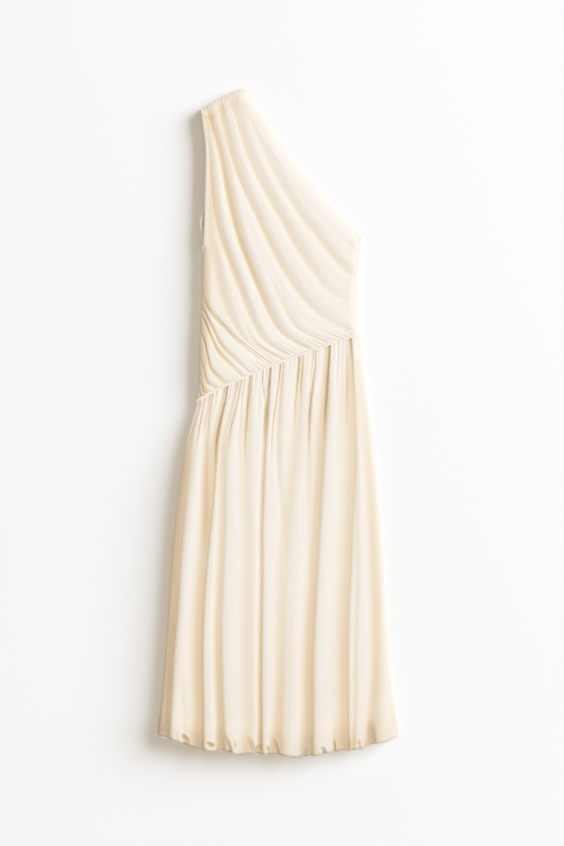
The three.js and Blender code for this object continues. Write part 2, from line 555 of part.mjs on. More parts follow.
// Rows across a back: two in each row of its table, and three on each groove.
function grooveSteps(from, to, grooves, plan) {
  const rows = steps(from, to, () => 2);
  const grooveRows = grooves.filter((g) => g.row > from && g.row < to).flatMap((g) => {
    const [xa, ya] = plan(g.row - GROOVE_ROWS.reach, GROOVE_ROWS.way);
    const [xb, yb] = plan(g.row + GROOVE_ROWS.reach, GROOVE_ROWS.way);
    const half = (GROOVE_ROWS.share * g.right) / Math.hypot(xb - xa, yb - ya);
    return [g.row - half, g.row, g.row + half];
  });
  const isClear = (r) => grooveRows.every((g) => Math.abs(g - r) > GROOVE_ROWS.clear);
  const kept = rows.filter((r) => r === from || r === to || isClear(r));
  return [...kept, ...grooveRows].filter((r) => r >= from && r <= to).sort((p, q) => p - q);
}

// Upright thickness of a wall whose top has this slope.
function uprightThick(topAt, plan, row, way, thick) {
  const [xa, ya] = plan(row - SLOPE_REACH, way);
  const [xb, yb] = plan(row + SLOPE_REACH, way);
  const across = Math.hypot(xb - xa, yb - ya);
  if (across < 0.05) return thick;
  const slope = (topAt(row + SLOPE_REACH, way) - topAt(row - SLOPE_REACH, way)) / across;
  return clamp(thick * Math.hypot(1, slope), thick, STEEPEST_WALL);
}

function rowsOf(table, row) {
  return table.find((r) => r.row === row) ?? table[0];
}

// Front bodice.
function bodiceFront() {
  const cloth = new Cloth();
  const thickAt = (spot) => {
    const toOpening = Math.min(away(EDGE.neck, spot), away(EDGE.armhole, spot));
    return mix(TURNED_EDGE_THICK, CLOTH_THICK, ease(4, 7, toOpening));
  };
  const firstRow = (way) => (way < STATION.ribs - 1e-6 ? BODICE_ENDS.shoulder : BODICE_ENDS.first);
  const topAt = (row, way) => bodiceTop(clamp(row, firstRow(way), BODICE_ENDS.last), way);
  let corner = null;
  const course = (way, rows) => rows.map((row) => {
    if (row <= BODICE_ENDS.first && corner !== null) return { row, index: corner };
    const spot = bodicePlan(row, way);
    const top = bodiceTop(row, way);
    const safeRow = clamp(row, firstRow(way) + END_INSET, BODICE_ENDS.last - END_INSET);
    const thick = Math.min(uprightThick(topAt, bodicePlan, safeRow, way, thickAt(spot)), top - FRONT_FLOOR);
    const index = cloth.point([...spot, top], [0, 0, -thick]);
    if (row <= BODICE_ENDS.first) corner = index;
    return { row, index };
  });
  const plain = (r) => (r < 3 ? 5 : 6);
  const whole = (count) => steps(BODICE_ENDS.first, BODICE_ENDS.last, count);
  const fine = (r) => 2 * rowsOf(BODICE_LIE, r).gathers;
  const close = (r) => 3 * rowsOf(BODICE_LIE, r).gathers;
  const lastPoint = SHOULDER_POINTS - 1;
  const shoulderRows = Array.from({ length: SHOULDER_POINTS }, (_, i) => shoulderRow(i / lastPoint));
  const seamCounts = [fine, close, close];
  const courses = [
    [0, shoulderRows], [0.03, shoulderRows],
    ...BODICE_UPPER.map((way) => [way, steps(BODICE_ENDS.shoulder, BODICE_ENDS.last, plain)]),
    ...BODICE_LOWER.map((way) => [way, whole((r) => (r < BODICE_ENDS.shoulder ? 4 : plain(r)))]),
    ...BODICE_AT_SEAM.map((way, i) => [way, whole(seamCounts[i])]),
  ];
  const made = courses.map(([way, rows]) => course(way, rows));
  for (let i = 0; i < made.length - 1; i += 1) cloth.join(made[i], made[i + 1]);
  return cloth;
}

function shoulderRow(share) {
  let low = 0;
  let high = 8;
  for (let i = 0; i < 40; i += 1) {
    const middle = (low + high) / 2;
    if (column(SHOULDER_ROWS, (r) => r.top, middle) < share) low = middle;
    else high = middle;
  }
  if (share <= 0) return 0;
  return share >= 1 ? 8 : (low + high) / 2;
}

// Back bodice: flat bands on the table with shallow grooves between, and its own armhole edge.
function bodiceBack() {
  const cloth = new Cloth();
  let corner = null;
  const course = (way, rows) => rows.map((row) => {
    if (row <= BODICE_ENDS.first && corner !== null) return { row, index: corner };
    const [x, y] = bodicePlan(row, way);
    const near = Math.exp(-(((y - BACK_ARMHOLE_BOW.at) / BACK_ARMHOLE_BOW.reach) ** 2));
    const held = row >= BODICE_ENDS.shoulder && way < BACK_ARMHOLE_BOW.lastWay;
    const pull = held ? near * ease(BACK_ARMHOLE_BOW.lastRow, 0, row) * BACK_ARMHOLE_BOW.out : 0;
    const under = bodiceBackUnder(row, way);
    const index = cloth.point([x - pull, y, under], [0, 0, BACK_TOP]);
    if (row <= BODICE_ENDS.first) corner = index;
    return { row, index };
  });
  const upper = grooveSteps(BODICE_ENDS.shoulder, BODICE_ENDS.last, BODICE_BACK_GROOVES, bodicePlan);
  const lower = grooveSteps(BODICE_ENDS.first, BODICE_ENDS.last, BODICE_BACK_GROOVES, bodicePlan);
  const courses = [...BACK_UPPER.map((way) => [way, upper]), ...BACK_LOWER.map((way) => [way, lower])];
  const made = courses.map(([way, rows]) => course(way, rows));
  for (let i = 0; i < made.length - 1; i += 1) cloth.join(made[i], made[i + 1]);
  return cloth;
}

// Rows of the hem's turn: its two ends and the panel's rows that are clear of them.
function turnRows(all, clear) {
  const amid = all.filter((r) => r > HEM_TURN_FROM + clear && r < HEM_TURN_TO - clear);
  return [HEM_TURN_FROM, ...amid, HEM_TURN_TO];
}

// Rows of the hem: those of its turn, and the panel's own rows past the turn's ends.
function joinRows(all, inner) {
  const ends = all.filter((r) => r < HEM_TURN_FROM || r > HEM_TURN_TO);
  return [...new Set([...ends, ...inner])].sort((p, q) => p - q);
}

// Front skirt with its blown hem turned in.
function skirtFront() {
  const cloth = new Cloth();
  const topAt = (row, way) => skirtTop(clamp(row, 0, SKIRT_LAST), way);
  const turnAt = (row) => clamp((skirtTop(row, 1) - HEM_RETURN_FLOOR) / 2, HEM_TURN_SMALLEST, HEM_TURN_LARGEST);
  const planAt = (row, way) => {
    const [x, y] = skirtPlan(row, way);
    const notch = HEM_NOTCH * hollowDepth(SKIRT_HOLLOWS, skirtPlan, row, 1, SKIRT_ASIDE);
    return [x, y + (turnAt(row) + notch) * ease(HEM_RISE.from, 1, way)];
  };
  const course = (way, rows) => rows.map((row) => {
    const top = skirtTop(row, way);
    const safeRow = clamp(row, END_INSET, SKIRT_LAST - END_INSET);
    const thick = Math.min(uprightThick(topAt, skirtPlan, safeRow, way, CLOTH_THICK), top - FRONT_FLOOR);
    const wall = way === 1 ? Math.min(thick, HEM_WALL) : thick;
    return { row, index: cloth.point([...planAt(row, way), top], [0, 0, -wall]) };
  });
  const turned = (angle, rows) => rows.map((row) => {
    const turn = turnAt(row);
    const [x, y] = planAt(row, 1);
    const top = skirtTop(row, 1);
    const outer = [x, y - turn * Math.sin(angle), top - turn * (1 - Math.cos(angle))];
    const offset = [0, CLOTH_THICK * Math.sin(angle), -CLOTH_THICK * Math.cos(angle)];
    return { row, index: cloth.point(outer, offset) };
  });
  const loose = (distance, rows) => rows.map((row) => {
    const [x, y] = planAt(row, 1);
    const under = skirtTop(row, 1) - 2 * turnAt(row);
    return { row, index: cloth.point([x, y + distance, under], [0, 0, CLOTH_THICK]) };
  });
  const plain = (r) => SKIRT_STEPS[Math.round(r)] ?? 6;
  const close = (r) => Math.max(3 * rowsOf(SKIRT_LIE, r).gathers, 3);
  const fine = (r) => Math.max(2 * rowsOf(SKIRT_LIE, r).gathers, plain(r));
  const all = steps(0, SKIRT_LAST, plain);
  const inner = turnRows(all, END_INSET);
  const seamCounts = [close, close, fine];
  const made = [
    ...SKIRT_AT_SEAM.map((way, i) => course(way, steps(0, SKIRT_LAST, seamCounts[i]))),
    ...SKIRT_COURSES.map((way) => course(way, all)),
    course(1, joinRows(all, inner)),
    ...[0.3, 0.62, 1].map((share) => turned(Math.PI * share, inner)),
    loose(HEM_RETURN, inner),
  ];
  for (let i = 0; i < made.length - 1; i += 1) cloth.join(made[i], made[i + 1]);
  return cloth;
}

// Back skirt: flat bands on the table, grooves between them, hem turned in above.
function skirtBack() {
  const cloth = new Cloth();
  const planAt = (row, way) => {
    const [x, y] = skirtPlan(row, way);
    return [x, y + BACK_HEM_TURN * ease(0.9, 1, way)];
  };
  const course = (way, rows) => rows.map((row) => {
    const under = way === 1 ? 0 : skirtBackUnder(row, way);
    return { row, index: cloth.point([...planAt(row, way), under], [0, 0, BACK_TOP]) };
  });
  const turned = (angle, rows) => rows.map((row) => {
    const [x, y] = planAt(row, 1);
    const outer = [x, y - BACK_HEM_TURN * Math.sin(angle), BACK_HEM_TURN * (1 - Math.cos(angle))];
    return { row, index: cloth.point(outer, [0, BACK_TOP * Math.sin(angle), BACK_TOP * Math.cos(angle)]) };
  });
  const loose = (distance, rows) => rows.map((row) => {
    const [x, y] = planAt(row, 1);
    return { row, index: cloth.point([x, y + distance, 2 * BACK_HEM_TURN], [0, 0, -BACK_TOP]) };
  });
  const all = grooveSteps(0, SKIRT_LAST, SKIRT_BACK_GROOVES, skirtPlan);
  const fine = steps(0, SKIRT_LAST, (r) => Math.max(2, Math.round(rowsOf(SKIRT_LIE, r).gathers * 1.2)));
  const inner = turnRows(all, 2 * END_INSET);
  const made = [
    ...SKIRT_BACK_AT_SEAM.map((way) => course(way, fine)),
    ...SKIRT_BACK_COURSES.map((way) => course(way, all)),
    course(1, joinRows(all, inner)),
    ...[0.5, 1].map((share) => turned(Math.PI * share, inner)),
    loose(BACK_HEM_RETURN, inner),
  ];
  for (let i = 0; i < made.length - 1; i += 1) cloth.join(made[i], made[i + 1]);
  return cloth;
}

// The gathered waist seam, a narrow raised welt that follows the waist line.
function waistSeam(count, section) {
  const points = [];
  const index = [];
  for (let i = 0; i <= count; i += 1) {
    const share = mix(SEAM_STEPS.first, SEAM_STEPS.last, i / count);
    const ring = section(share, i);
    ring.forEach(([offset, z]) => points.push([...besideWaist(share, offset), z]));
  }
  const size = points.length / (count + 1);
  for (let i = 0; i < count; i += 1) {
    for (let k = 0; k < size; k += 1) {
      const a = i * size + k;
      const b = i * size + ((k + 1) % size);
      index.push(a, a + size, b, b, a + size, b + size);
    }
  }
  for (let k = 1; k < size - 1; k += 1) {
    index.push(0, k, k + 1);
    const last = count * size;
    index.push(last, last + k + 1, last + k);
  }
  return surface(points, index);
}

function frontSeamSection(share, i) {
  const spot = bow(WAIST_LINE, share);
  const side = Math.min(away(EDGE.skirtLeft, spot), away(EDGE.skirtRight, spot));
  const level = mix(SIDE_SEAM_TOP, WAIST_TOP, roll(side, SIDE_ROLL));
  const swell = i % 2 === 0 ? 1 : 0.45 + 0.3 * uneven(i, 2);
  const top = level + WAIST_SEAM_OVER * swell;
  const bottom = Math.max(level - WAIST_SEAM_UNDER, FRONT_FLOOR);
  const half = WAIST_SEAM_HALF;
  const shoulder = level + 0.1;
  const base = [[-half, bottom], [half, bottom]];
  return [...base, [half, shoulder], [half * 0.45, top], [-half * 0.5, top], [-half, shoulder]];
}

function backSeamSection() {
  const half = WAIST_SEAM_HALF;
  return [[-half, 0], [half, 0], [half, BACK_TOP], [-half, BACK_TOP]];
}

const JERSEY = new THREE.MeshStandardMaterial({
  color: "#efe6d5",
  roughness: 0.85,
  metalness: 0,
  side: THREE.DoubleSide,
});

function buildDress() {
  const dress = new THREE.Group();
  dress.name = "one_shoulder_dress";
  const add = (name, geometry) => {
    const mesh = new THREE.Mesh(geometry, JERSEY);
    mesh.name = name;
    dress.add(mesh);
  };
  add("bodice_front", bodiceFront().geometry());
  add("bodice_back", bodiceBack().geometry());
  add("skirt_front", skirtFront().geometry());
  add("skirt_back", skirtBack().geometry());
  add("waist_seam_front", waistSeam(SEAM_STEPS.front, frontSeamSection));
  add("waist_seam_back", waistSeam(SEAM_STEPS.back, backSeamSection));
  const box = new THREE.Box3();
  dress.children.forEach((mesh) => {
    mesh.geometry.computeBoundingBox();
    box.union(mesh.geometry.boundingBox);
  });
  const middle = box.getCenter(new THREE.Vector3());
  dress.children.forEach((mesh) => mesh.geometry.translate(-middle.x, -middle.y, -box.min.z));
  return dress;
}

export default buildDress();
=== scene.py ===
"""One-shoulder dress in fine cream jersey, laid flat with its front up.

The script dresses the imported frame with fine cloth: each panel is a thin jersey shell on the form of
its solid, with its folds, gathers and blown hem. Tables and sizes are in millimetres, and meshes are
written in metres. A panel's rows run across its folds and its ways run along them, from 0 to 1.
"""

import logging
import math
from dataclasses import dataclass
from enum import Enum
from typing import Callable, Sequence

import bmesh
import bpy
import numpy as np
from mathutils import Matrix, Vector


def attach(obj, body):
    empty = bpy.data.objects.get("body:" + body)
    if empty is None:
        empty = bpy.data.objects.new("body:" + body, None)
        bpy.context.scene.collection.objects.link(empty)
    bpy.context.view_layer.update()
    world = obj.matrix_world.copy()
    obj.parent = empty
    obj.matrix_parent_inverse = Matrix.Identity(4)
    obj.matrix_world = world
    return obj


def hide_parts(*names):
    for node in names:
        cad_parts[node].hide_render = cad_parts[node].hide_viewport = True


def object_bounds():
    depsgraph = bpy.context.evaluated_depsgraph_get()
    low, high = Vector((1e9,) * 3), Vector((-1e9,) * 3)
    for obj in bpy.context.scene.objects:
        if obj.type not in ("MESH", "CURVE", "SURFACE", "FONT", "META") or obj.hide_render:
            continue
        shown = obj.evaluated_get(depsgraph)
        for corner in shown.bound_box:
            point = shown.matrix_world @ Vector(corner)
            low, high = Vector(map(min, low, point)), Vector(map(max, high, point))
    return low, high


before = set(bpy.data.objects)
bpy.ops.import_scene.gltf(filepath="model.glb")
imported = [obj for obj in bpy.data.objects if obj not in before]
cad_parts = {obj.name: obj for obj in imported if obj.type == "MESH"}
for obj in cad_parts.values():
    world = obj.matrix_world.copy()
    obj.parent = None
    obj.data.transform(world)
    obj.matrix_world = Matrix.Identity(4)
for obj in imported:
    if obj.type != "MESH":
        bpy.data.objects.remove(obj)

CAD_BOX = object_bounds()
LOG = logging.getLogger("dress")
MM = 0.001
BODY = "root"
EDGE_FALL = 0.72
# Painted shade, in millimetres of hollow, that gives the cloth's darkest painted shade colour.
SHADE_DEPTH = 14.0
RIM_CREASE = 1.1
HOLLOW_DRIFT = 1.3
HOLLOW_ROWS = 2.6
CRISP_NARROWING = 2.2
CRISP_SHARE = 0.75
Array = np.ndarray


def clamp(value: Array | float, low: float, high: float) -> Array:
    """Keep values between two limits."""
    return np.minimum(np.maximum(value, low), high)


def mix(a: Array | float, b: Array | float, share: Array | float) -> Array:
    """Blend from a to b by a share from 0 to 1."""
    return a + (b - a) * share


def ease(low: float, high: float, value: Array | float) -> Array:
    """Rise smoothly from 0 at the low value to 1 at the high one, which may be the smaller number."""
    share = clamp((np.asarray(value, float) - low) / (high - low), 0.0, 1.0)
    return share * share * (3.0 - 2.0 * share)


def roll(distance: Array, reach: Array | float, fall: float = EDGE_FALL) -> Array:
    """Height share of a rounded edge at a distance in from it. A greater fall makes the edge less steep."""
    rest = clamp(1.0 - distance / reach, 0.0, 1.0)
    return (1.0 - rest * rest) ** fall


def uneven(index: Array, kind: float) -> Array:
    """Fixed uneven numbers from 0 to 1, one for each whole index."""
    wave = np.sin(np.asarray(index, float) * 12.9898 + kind * 78.233) * 43758.5453
    return wave - np.floor(wave)


def wander(place: Array, kind: float) -> Array:
    """A smooth uneven line between -1 and 1 that passes one fixed number for each whole place.

    Args:
        place: Places along the line.
        kind: A number that picks one line.

    Returns:
        The line's value at each place.
    """
    index = np.floor(place)
    share = place - index
    share = share * share * (3.0 - 2.0 * share)
    return 2.0 * mix(uneven(index, kind), uneven(index + 1, kind), share) - 1.0


def ripple(across: Array, along: Array, kind: float) -> Array:
    """Smooth uneven relief between -1 and 1 over two directions.

    Args:
        across: Places across the cloth, in ripples.
        along: Places along the cloth, in ripples.
        kind: A number that picks one relief.

    Returns:
        The relief at each place.
    """
    row, column = np.floor(across), np.floor(along)
    s, t = across - row, along - column
    s, t = s * s * (3.0 - 2.0 * s), t * t * (3.0 - 2.0 * t)

    def at(dr: int, dc: int) -> Array:
        """The fixed number at one corner of the place's cell."""
        return uneven((row + dr) * 57.0 + (column + dc) * 131.0, kind)

    return 2.0 * mix(mix(at(0, 0), at(1, 0), s), mix(at(0, 1), at(1, 1), s), t) - 1.0


def slopes(places: Array, values: Array) -> Array:
    """Slopes at table values that never overshoot their neighbours.

    Args:
        places: The table's places, rising.
        values: The table's values, with places on the first axis.

    Returns:
        One slope for each value.
    """
    span = np.diff(places).reshape((-1,) + (1,) * (values.ndim - 1))
    rise = np.diff(values, axis=0) / span
    before, after = rise[:-1], rise[1:]
    total = before + after
    middle = np.where(before * after > 0, 2.0 * before * after / np.where(total == 0, 1.0, total), 0.0)
    return np.concatenate([rise[:1], middle, rise[-1:]], axis=0)


def between(places: Sequence[float], values: Array, at: Array, tilt: Array | None = None) -> Array:
    """Smooth values between the rows of a table.

    Args:
        places: The table's places, rising.
        values: The table's values, with places on the first axis.
        at: The places asked for.
        tilt: Slopes to use in place of the table's own.

    Returns:
        Values with the asked places on the first axis.
    """
    knots = np.asarray(places, float)
    values = np.asarray(values, float)
    tilt = slopes(knots, values) if tilt is None else tilt
    at = clamp(np.asarray(at, float), knots[0], knots[-1])
    i = np.clip(np.searchsorted(knots, at, side="right") - 1, 0, len(knots) - 2)
    shape = (-1,) + (1,) * (values.ndim - 1)
    span = (knots[i + 1] - knots[i]).reshape(shape)
    s = ((at - knots[i]) / (knots[i + 1] - knots[i])).reshape(shape)
    return (
        (1 + 2 * s) * (1 - s) ** 2 * values[i]
        + s * (1 - s) ** 2 * span * tilt[i]
        + s * s * (3 - 2 * s) * values[i + 1]
        + s * s * (s - 1) * span * tilt[i + 1]
    )


def bow(line: Array, share: Array) -> Array:
    """Points of a short bow through its left, bend and right points."""
    s = np.asarray(share, float)[..., None]
    return (1 - s) ** 2 * line[0] + 2 * s * (1 - s) * line[1] + s * s * line[2]


def away(chain: Array, spots: Array) -> Array:
    """Distance of each spot from a chain of points.

    Args:
        chain: The chain's points in order.
        spots: Plan points, with x and y on the last axis.

    Returns:
        The shortest distance of each spot.
    """
    flat = spots.reshape(-1, 2)
    best = np.full(len(flat), np.inf)
    for a, b in zip(chain[:-1], chain[1:]):
        step = b - a
        length = float(step @ step)
        if length < 1e-12:
            continue
        share = clamp((flat - a) @ step / length, 0.0, 1.0)
        gap = flat - a - share[:, None] * step
        best = np.minimum(best, np.einsum("ij,ij->i", gap, gap))
    return np.sqrt(best).reshape(spots.shape[:-1])


class Side(Enum):
    """Which way the outer face of a panel looks."""

    FRONT = 1.0
    BACK = -1.0


@dataclass(frozen=True)
class Hollow:
    """A hollow between two folds.

    Row and row_end are its places across the panel where it begins and finishes. Left and right are its
    distances to the crests beside it, and the depths are at its start, middle and end. Crisp values near
    1 bring most of the fall on that side close to the bottom, and 0 leaves it round. Flat is half the
    width of its floor, and drift is where along its length it moves from one row to the other.
    """

    row: float
    row_end: float
    left: float
    right: float
    start: float
    middle: float
    end: float
    begin: float
    finish: float
    crisp_left: float = 0.0
    crisp_right: float = 0.0
    flat: float = 0.0
    drift: tuple[float, float] = (0.1, 0.62)

    def share(self, ways: Array) -> Array:
        """Share of the hollow's length at each way."""
        return clamp((ways - self.begin) / (self.finish - self.begin), 0.0, 1.0)

    def depth(self, ways: Array) -> Array:
        """Depth along the hollow, and 0 past its ends."""
        depth = between([0.0, 0.5, 1.0], np.array([self.start, self.middle, self.end]), self.share(ways))
        return np.where((ways >= self.begin) & (ways <= self.finish), depth, 0.0)

    def rows(self, ways: Array) -> Array:
        """Place of its bottom across the panel at each way."""
        return mix(self.row, self.row_end, ease(*self.drift, self.share(ways)))


@dataclass(frozen=True)
class Gathers:
    """Fine gathers that run out of a seam, uneven in spacing, length and depth."""

    depth: float
    shortest: float
    longest: float
    kind: float
    at_seam: float = 0.8
    narrow: float = 3.2

    def fall(self, count: Array, distance: Array) -> Array:
        """Depth of the gathers below the crests beside them.

        Args:
            count: Running number of gathers along the seam.
            distance: Distance from the seam.

        Returns:
            The depth at each place.
        """
        count = count + 0.46 * wander(count * 0.61, self.kind)
        index = np.floor(count)
        reach = mix(self.shortest, self.longest, uneven(index, self.kind) ** 1.6)
        strength = mix(0.3, 1.0, uneven(index, self.kind + 1))
        fade = np.exp(-((distance / reach) ** 1.4)) * ease(2.6, 1.4, distance / self.longest)
        held = mix(self.at_seam, 1.0, ease(0, 7, distance - 2.5))
        wave = np.sin(np.pi * (count - index)) ** self.narrow
        return self.depth * strength * wave * fade * held


@dataclass(frozen=True)
class Pocket:
    """A small loop where the blown hem tucks under itself, by its middle, size, depth and lean."""

    across: float
    up: float
    wide: float
    tall: float
    deep: float
    lean: float

    def ring(self, x: Array, y: Array) -> Array:
        """Distance from its middle, 1 at its rim."""
        beside = (x - self.across + self.lean * (y - self.up)) / (self.wide / 2)
        return np.hypot(beside, (y - self.up) / (self.tall / 2))

    def bowl(self, x: Array, y: Array) -> Array:
        """Depth inside the loop."""
        return self.deep * ease(1.1, 0.1, self.ring(x, y))

    def lip(self, x: Array, y: Array) -> Array:
        """Height of the puffed rim round the loop."""
        return 0.4 * self.deep * np.exp(-(((self.ring(x, y) - 1.3) / 0.35) ** 2))


@dataclass(frozen=True)
class Lie:
    """One row of a panel's plan: a fold line and the gathers up to the next row."""

    row: float
    gathers: int
    points: dict[str, tuple[float, float]]
    shares: dict[str, float]


def lie(row: float, gathers: int, shares: dict[str, float], **points: tuple[float, float]) -> Lie:
    """Make one row of a plan table."""
    return Lie(row, gathers, points, shares)


WAIST_LINE = np.array([[-155.8, 39.9], [-87.4, 85.5], [153.9, 168.2]])
SHOULDER_LINE = np.array([[-147.3, 595.7], [-72.2, 640.3], [-59.9, 635.6]])
RIGHT_SEAM = [(0.0, 153.9, 168.2), (0.25, 150.1, 214.7), (0.5, 150.7, 262.2), (1.0, 158.7, 356.3)]
WAIST_HALF = 2.4
SEAM_GAP = 0.04

BODICE_LIE = [
    lie(-5, 6, {"waist": 0}, ribs=(-155.8, 39.9), low=(-155.8, 39.9)),
    lie(-4, 5, {"waist": 0.16}, ribs=(-150.5, 74.1), low=(-141.6, 62.7)),
    lie(-3, 5, {"waist": 0.29}, ribs=(-150.1, 134.9), low=(-131.1, 98.8)),
    lie(-2, 4, {"waist": 0.42}, ribs=(-147.6, 191.9), low=(-117.8, 136.8)),
    lie(-1, 3, {"waist": 0.51}, ribs=(-145.9, 222.3), low=(-106.4, 161.5)),
    lie(0, 3, {"waist": 0.58, "top": 0}, chest=(-137.4, 509.2), bust=(-140, 395.2), ribs=(-145.4, 252.7),
        low=(-93.1, 174.8)),
    lie(1, 3, {"waist": 0.65, "top": 0.035}, chest=(-134, 509.2), bust=(-124.5, 391.4), ribs=(-104.5, 266),
        low=(-60.8, 157.7)),
    lie(2, 4, {"waist": 0.71, "top": 0.07}, chest=(-125, 503.5), bust=(-112.1, 391.4), ribs=(-74.1, 271.7),
        low=(-24.7, 161.5)),
    lie(3, 4, {"waist": 0.8, "top": 0.12}, chest=(-104.5, 503.5), bust=(-79.8, 391.4), ribs=(-39.9, 273.6),
        low=(11.4, 171)),
    lie(4, 5, {"waist": 0.89, "top": 0.2}, chest=(-93.1, 503.5), bust=(-57, 389.5), ribs=(-9.5, 277.4),
        low=(45.6, 178.6)),
    lie(5, 6, {"waist": 1, "side": 0, "top": 0.29}, chest=(-80.8, 503.5), bust=(-34.2, 389.5),
        ribs=(20.9, 283.1), low=(81.7, 210.9)),
    lie(6, 5, {"side": 0.33, "top": 0.5}, chest=(-49.4, 503.5), bust=(9.5, 391.4), ribs=(62.7, 300.2),
        low=(106.4, 250.8)),
    lie(7, 7, {"side": 0.6, "top": 0.71}, chest=(-15.2, 503.5), bust=(47.5, 397.1), ribs=(93.1, 338.2),
        low=(125.4, 298.3)),
    lie(8, 0, {"side": 1, "top": 1}, chest=(22.8, 512), bust=(83.6, 437), ribs=(114, 403.8),
        low=(136.8, 381)),
]
STATION = {"top": 0.0, "chest": 0.2, "bust": 0.4, "ribs": 0.62, "low": 0.82, "end": 1.0}

SKIRT_LEVELS = {"high": -51.3, "middle": -241.3, "low": -431.3}
SKIRT_LIE = [
    lie(0, 2, {"waist": 0, "high": -177.7, "middle": -201.4, "low": -214.3}, hem=(-229.9, -598.5)),
    lie(1, 3, {"waist": 0.08, "high": -160.6, "middle": -174.8, "low": -191}, hem=(-195.7, -605.5)),
    lie(2, 7, {"waist": 0.18, "high": -137.8, "middle": -142.5, "low": -148.2}, hem=(-146.3, -624)),
    lie(3, 4, {"waist": 0.377, "high": -101.7, "middle": -106.4, "low": -112.1}, hem=(-106.4, -626.5)),
    lie(4, 6, {"waist": 0.476, "high": -60.8, "middle": -58.9, "low": -58.9}, hem=(-55.1, -633)),
    lie(5, 3, {"waist": 0.595, "high": -24.7, "middle": -31.4, "low": -32.3}, hem=(-32.3, -632.5)),
    lie(6, 4, {"waist": 0.66, "high": -1.9, "middle": 7.6, "low": 5.7}, hem=(-1.9, -634)),
    lie(7, 4, {"waist": 0.74, "high": 34.2, "middle": 33, "low": 30.4}, hem=(26.6, -635.5)),
    lie(8, 4, {"waist": 0.805, "high": 55.1, "middle": 51.3, "low": 52.3}, hem=(52.3, -637.5)),
    lie(9, 4, {"waist": 0.871, "high": 82.7, "middle": 71.3, "low": 72.2}, hem=(72.2, -634.5)),
    lie(10, 2, {"waist": 0.935, "high": 114, "middle": 110.2, "low": 106.4}, hem=(108.3, -627)),
    lie(11, 1, {"waist": 0.965, "high": 143, "middle": 135.9, "low": 129.2}, hem=(133, -626.5)),
    lie(12, 1, {"waist": 0.985, "high": 170, "middle": 180.5, "low": 186.2}, hem=(176.7, -616)),
    lie(13, 0, {"waist": 1, "high": 182.4, "middle": 199.5, "low": 209}, hem=(229.9, -598.5)),
]


def beside_waist(share: Array, offset: float) -> Array:
    """Points beside the waist line.

    Args:
        share: Places along the line, from 0 at its left end to 1.
        offset: Distance from the line, positive on its bodice side.

    Returns:
        The points.
    """
    share = np.asarray(share, float)
    step = bow(WAIST_LINE, share + 0.001) - bow(WAIST_LINE, share - 0.001)
    step = step / np.linalg.norm(step, axis=-1, keepdims=True)
    return bow(WAIST_LINE, share) + offset * np.stack([-step[..., 1], step[..., 0]], axis=-1)


def right_seam(share: Array) -> Array:
    """Points up the right side seam of the bodice.

    Args:
        share: Places along the seam, from 0 at the waist to 1 at the neck.

    Returns:
        The points.
    """
    spots = np.array([[x, y] for _, x, y in RIGHT_SEAM])
    spots[0] = beside_waist(np.array(1.0), WAIST_HALF + SEAM_GAP)
    return between([s for s, _, _ in RIGHT_SEAM], spots, share)


class Plan:
    """The plan of a panel: rows across its folds, ways along them."""

    table: list[Lie]

    def count(self, rows: Array) -> Array:
        """Running number of seam gathers at each row."""
        return sum(r.gathers * clamp(rows - r.row, 0.0, 1.0) for r in self.table)

    def spots(self, rows: Array, ways: Array) -> Array:
        """Plan points on a grid of ways by rows."""
        raise NotImplementedError

    def column(self, pick: Callable[[Lie], object], rows: Array, first: float = -99,
               last: float = 99) -> Array:
        """Smooth values between table rows.

        Args:
            pick: Picks the value of one table row.
            rows: The rows asked for.
            first: The first table row that has the value.
            last: The last table row that has it.

        Returns:
            Values with the asked rows on the first axis.
        """
        kept = [r for r in self.table if first <= r.row <= last]
        return between([r.row for r in kept], np.array([pick(r) for r in kept], float), rows)


class BodicePlan(Plan):
    """The bodice: rows below 0 start at the left seam, the others at the shoulder."""

    table = BODICE_LIE
    corner = beside_waist(np.array(0.0), WAIST_HALF + SEAM_GAP)

    def stations(self, rows: Array) -> Array:
        """Plan points of each station.

        Args:
            rows: The rows asked for.

        Returns:
            The points, on an axis of six stations by rows.
        """

        def spot(name: str, first: float) -> Array:
            """Plan points of one station of the table."""
            return self.column(lambda r: tuple(self.corner) if r.row == -5 else r.points[name], rows, first)

        upper = clamp(rows, 0, 8)
        top = bow(SHOULDER_LINE, self.column(lambda r: r.shares["top"], upper, 0))
        waist = beside_waist(self.column(lambda r: r.shares["waist"], rows, -5, 5), WAIST_HALF + SEAM_GAP)
        side = right_seam(self.column(lambda r: r.shares["side"], rows, 5))
        end = np.where((rows <= 5)[:, None], waist, side)
        return np.stack([top, spot("chest", 0), spot("bust", 0), spot("ribs", -5), spot("low", -5), end])

    def spots(self, rows: Array, ways: Array) -> Array:
        """Plan points on a grid.

        Args:
            rows: Rows of the grid.
            ways: Ways of the grid.

        Returns:
            The points, on an axis of ways by rows.
        """
        places = np.array(list(STATION.values()))
        rows = np.asarray(rows, float)
        stations = self.stations(rows)
        whole = between(places, stations, ways)
        edge = slopes(places, self.stations(np.array([0.0])))[3]
        lower = stations[3:]
        tilt = slopes(places[3:], lower)
        tilt[0] = mix(edge, tilt[0], clamp(-rows, 0, 1)[:, None])
        short = between(places[3:], lower, ways, tilt)
        return np.where((rows < 0)[None, :, None], short, whole)

    def kept(self, rows: Array, ways: Array) -> Array:
        """Which points of a grid the bodice has: rows below 0 begin at the ribs."""
        return (rows[None, :] >= 0) | (ways[:, None] >= STATION["ribs"] - 1e-9)


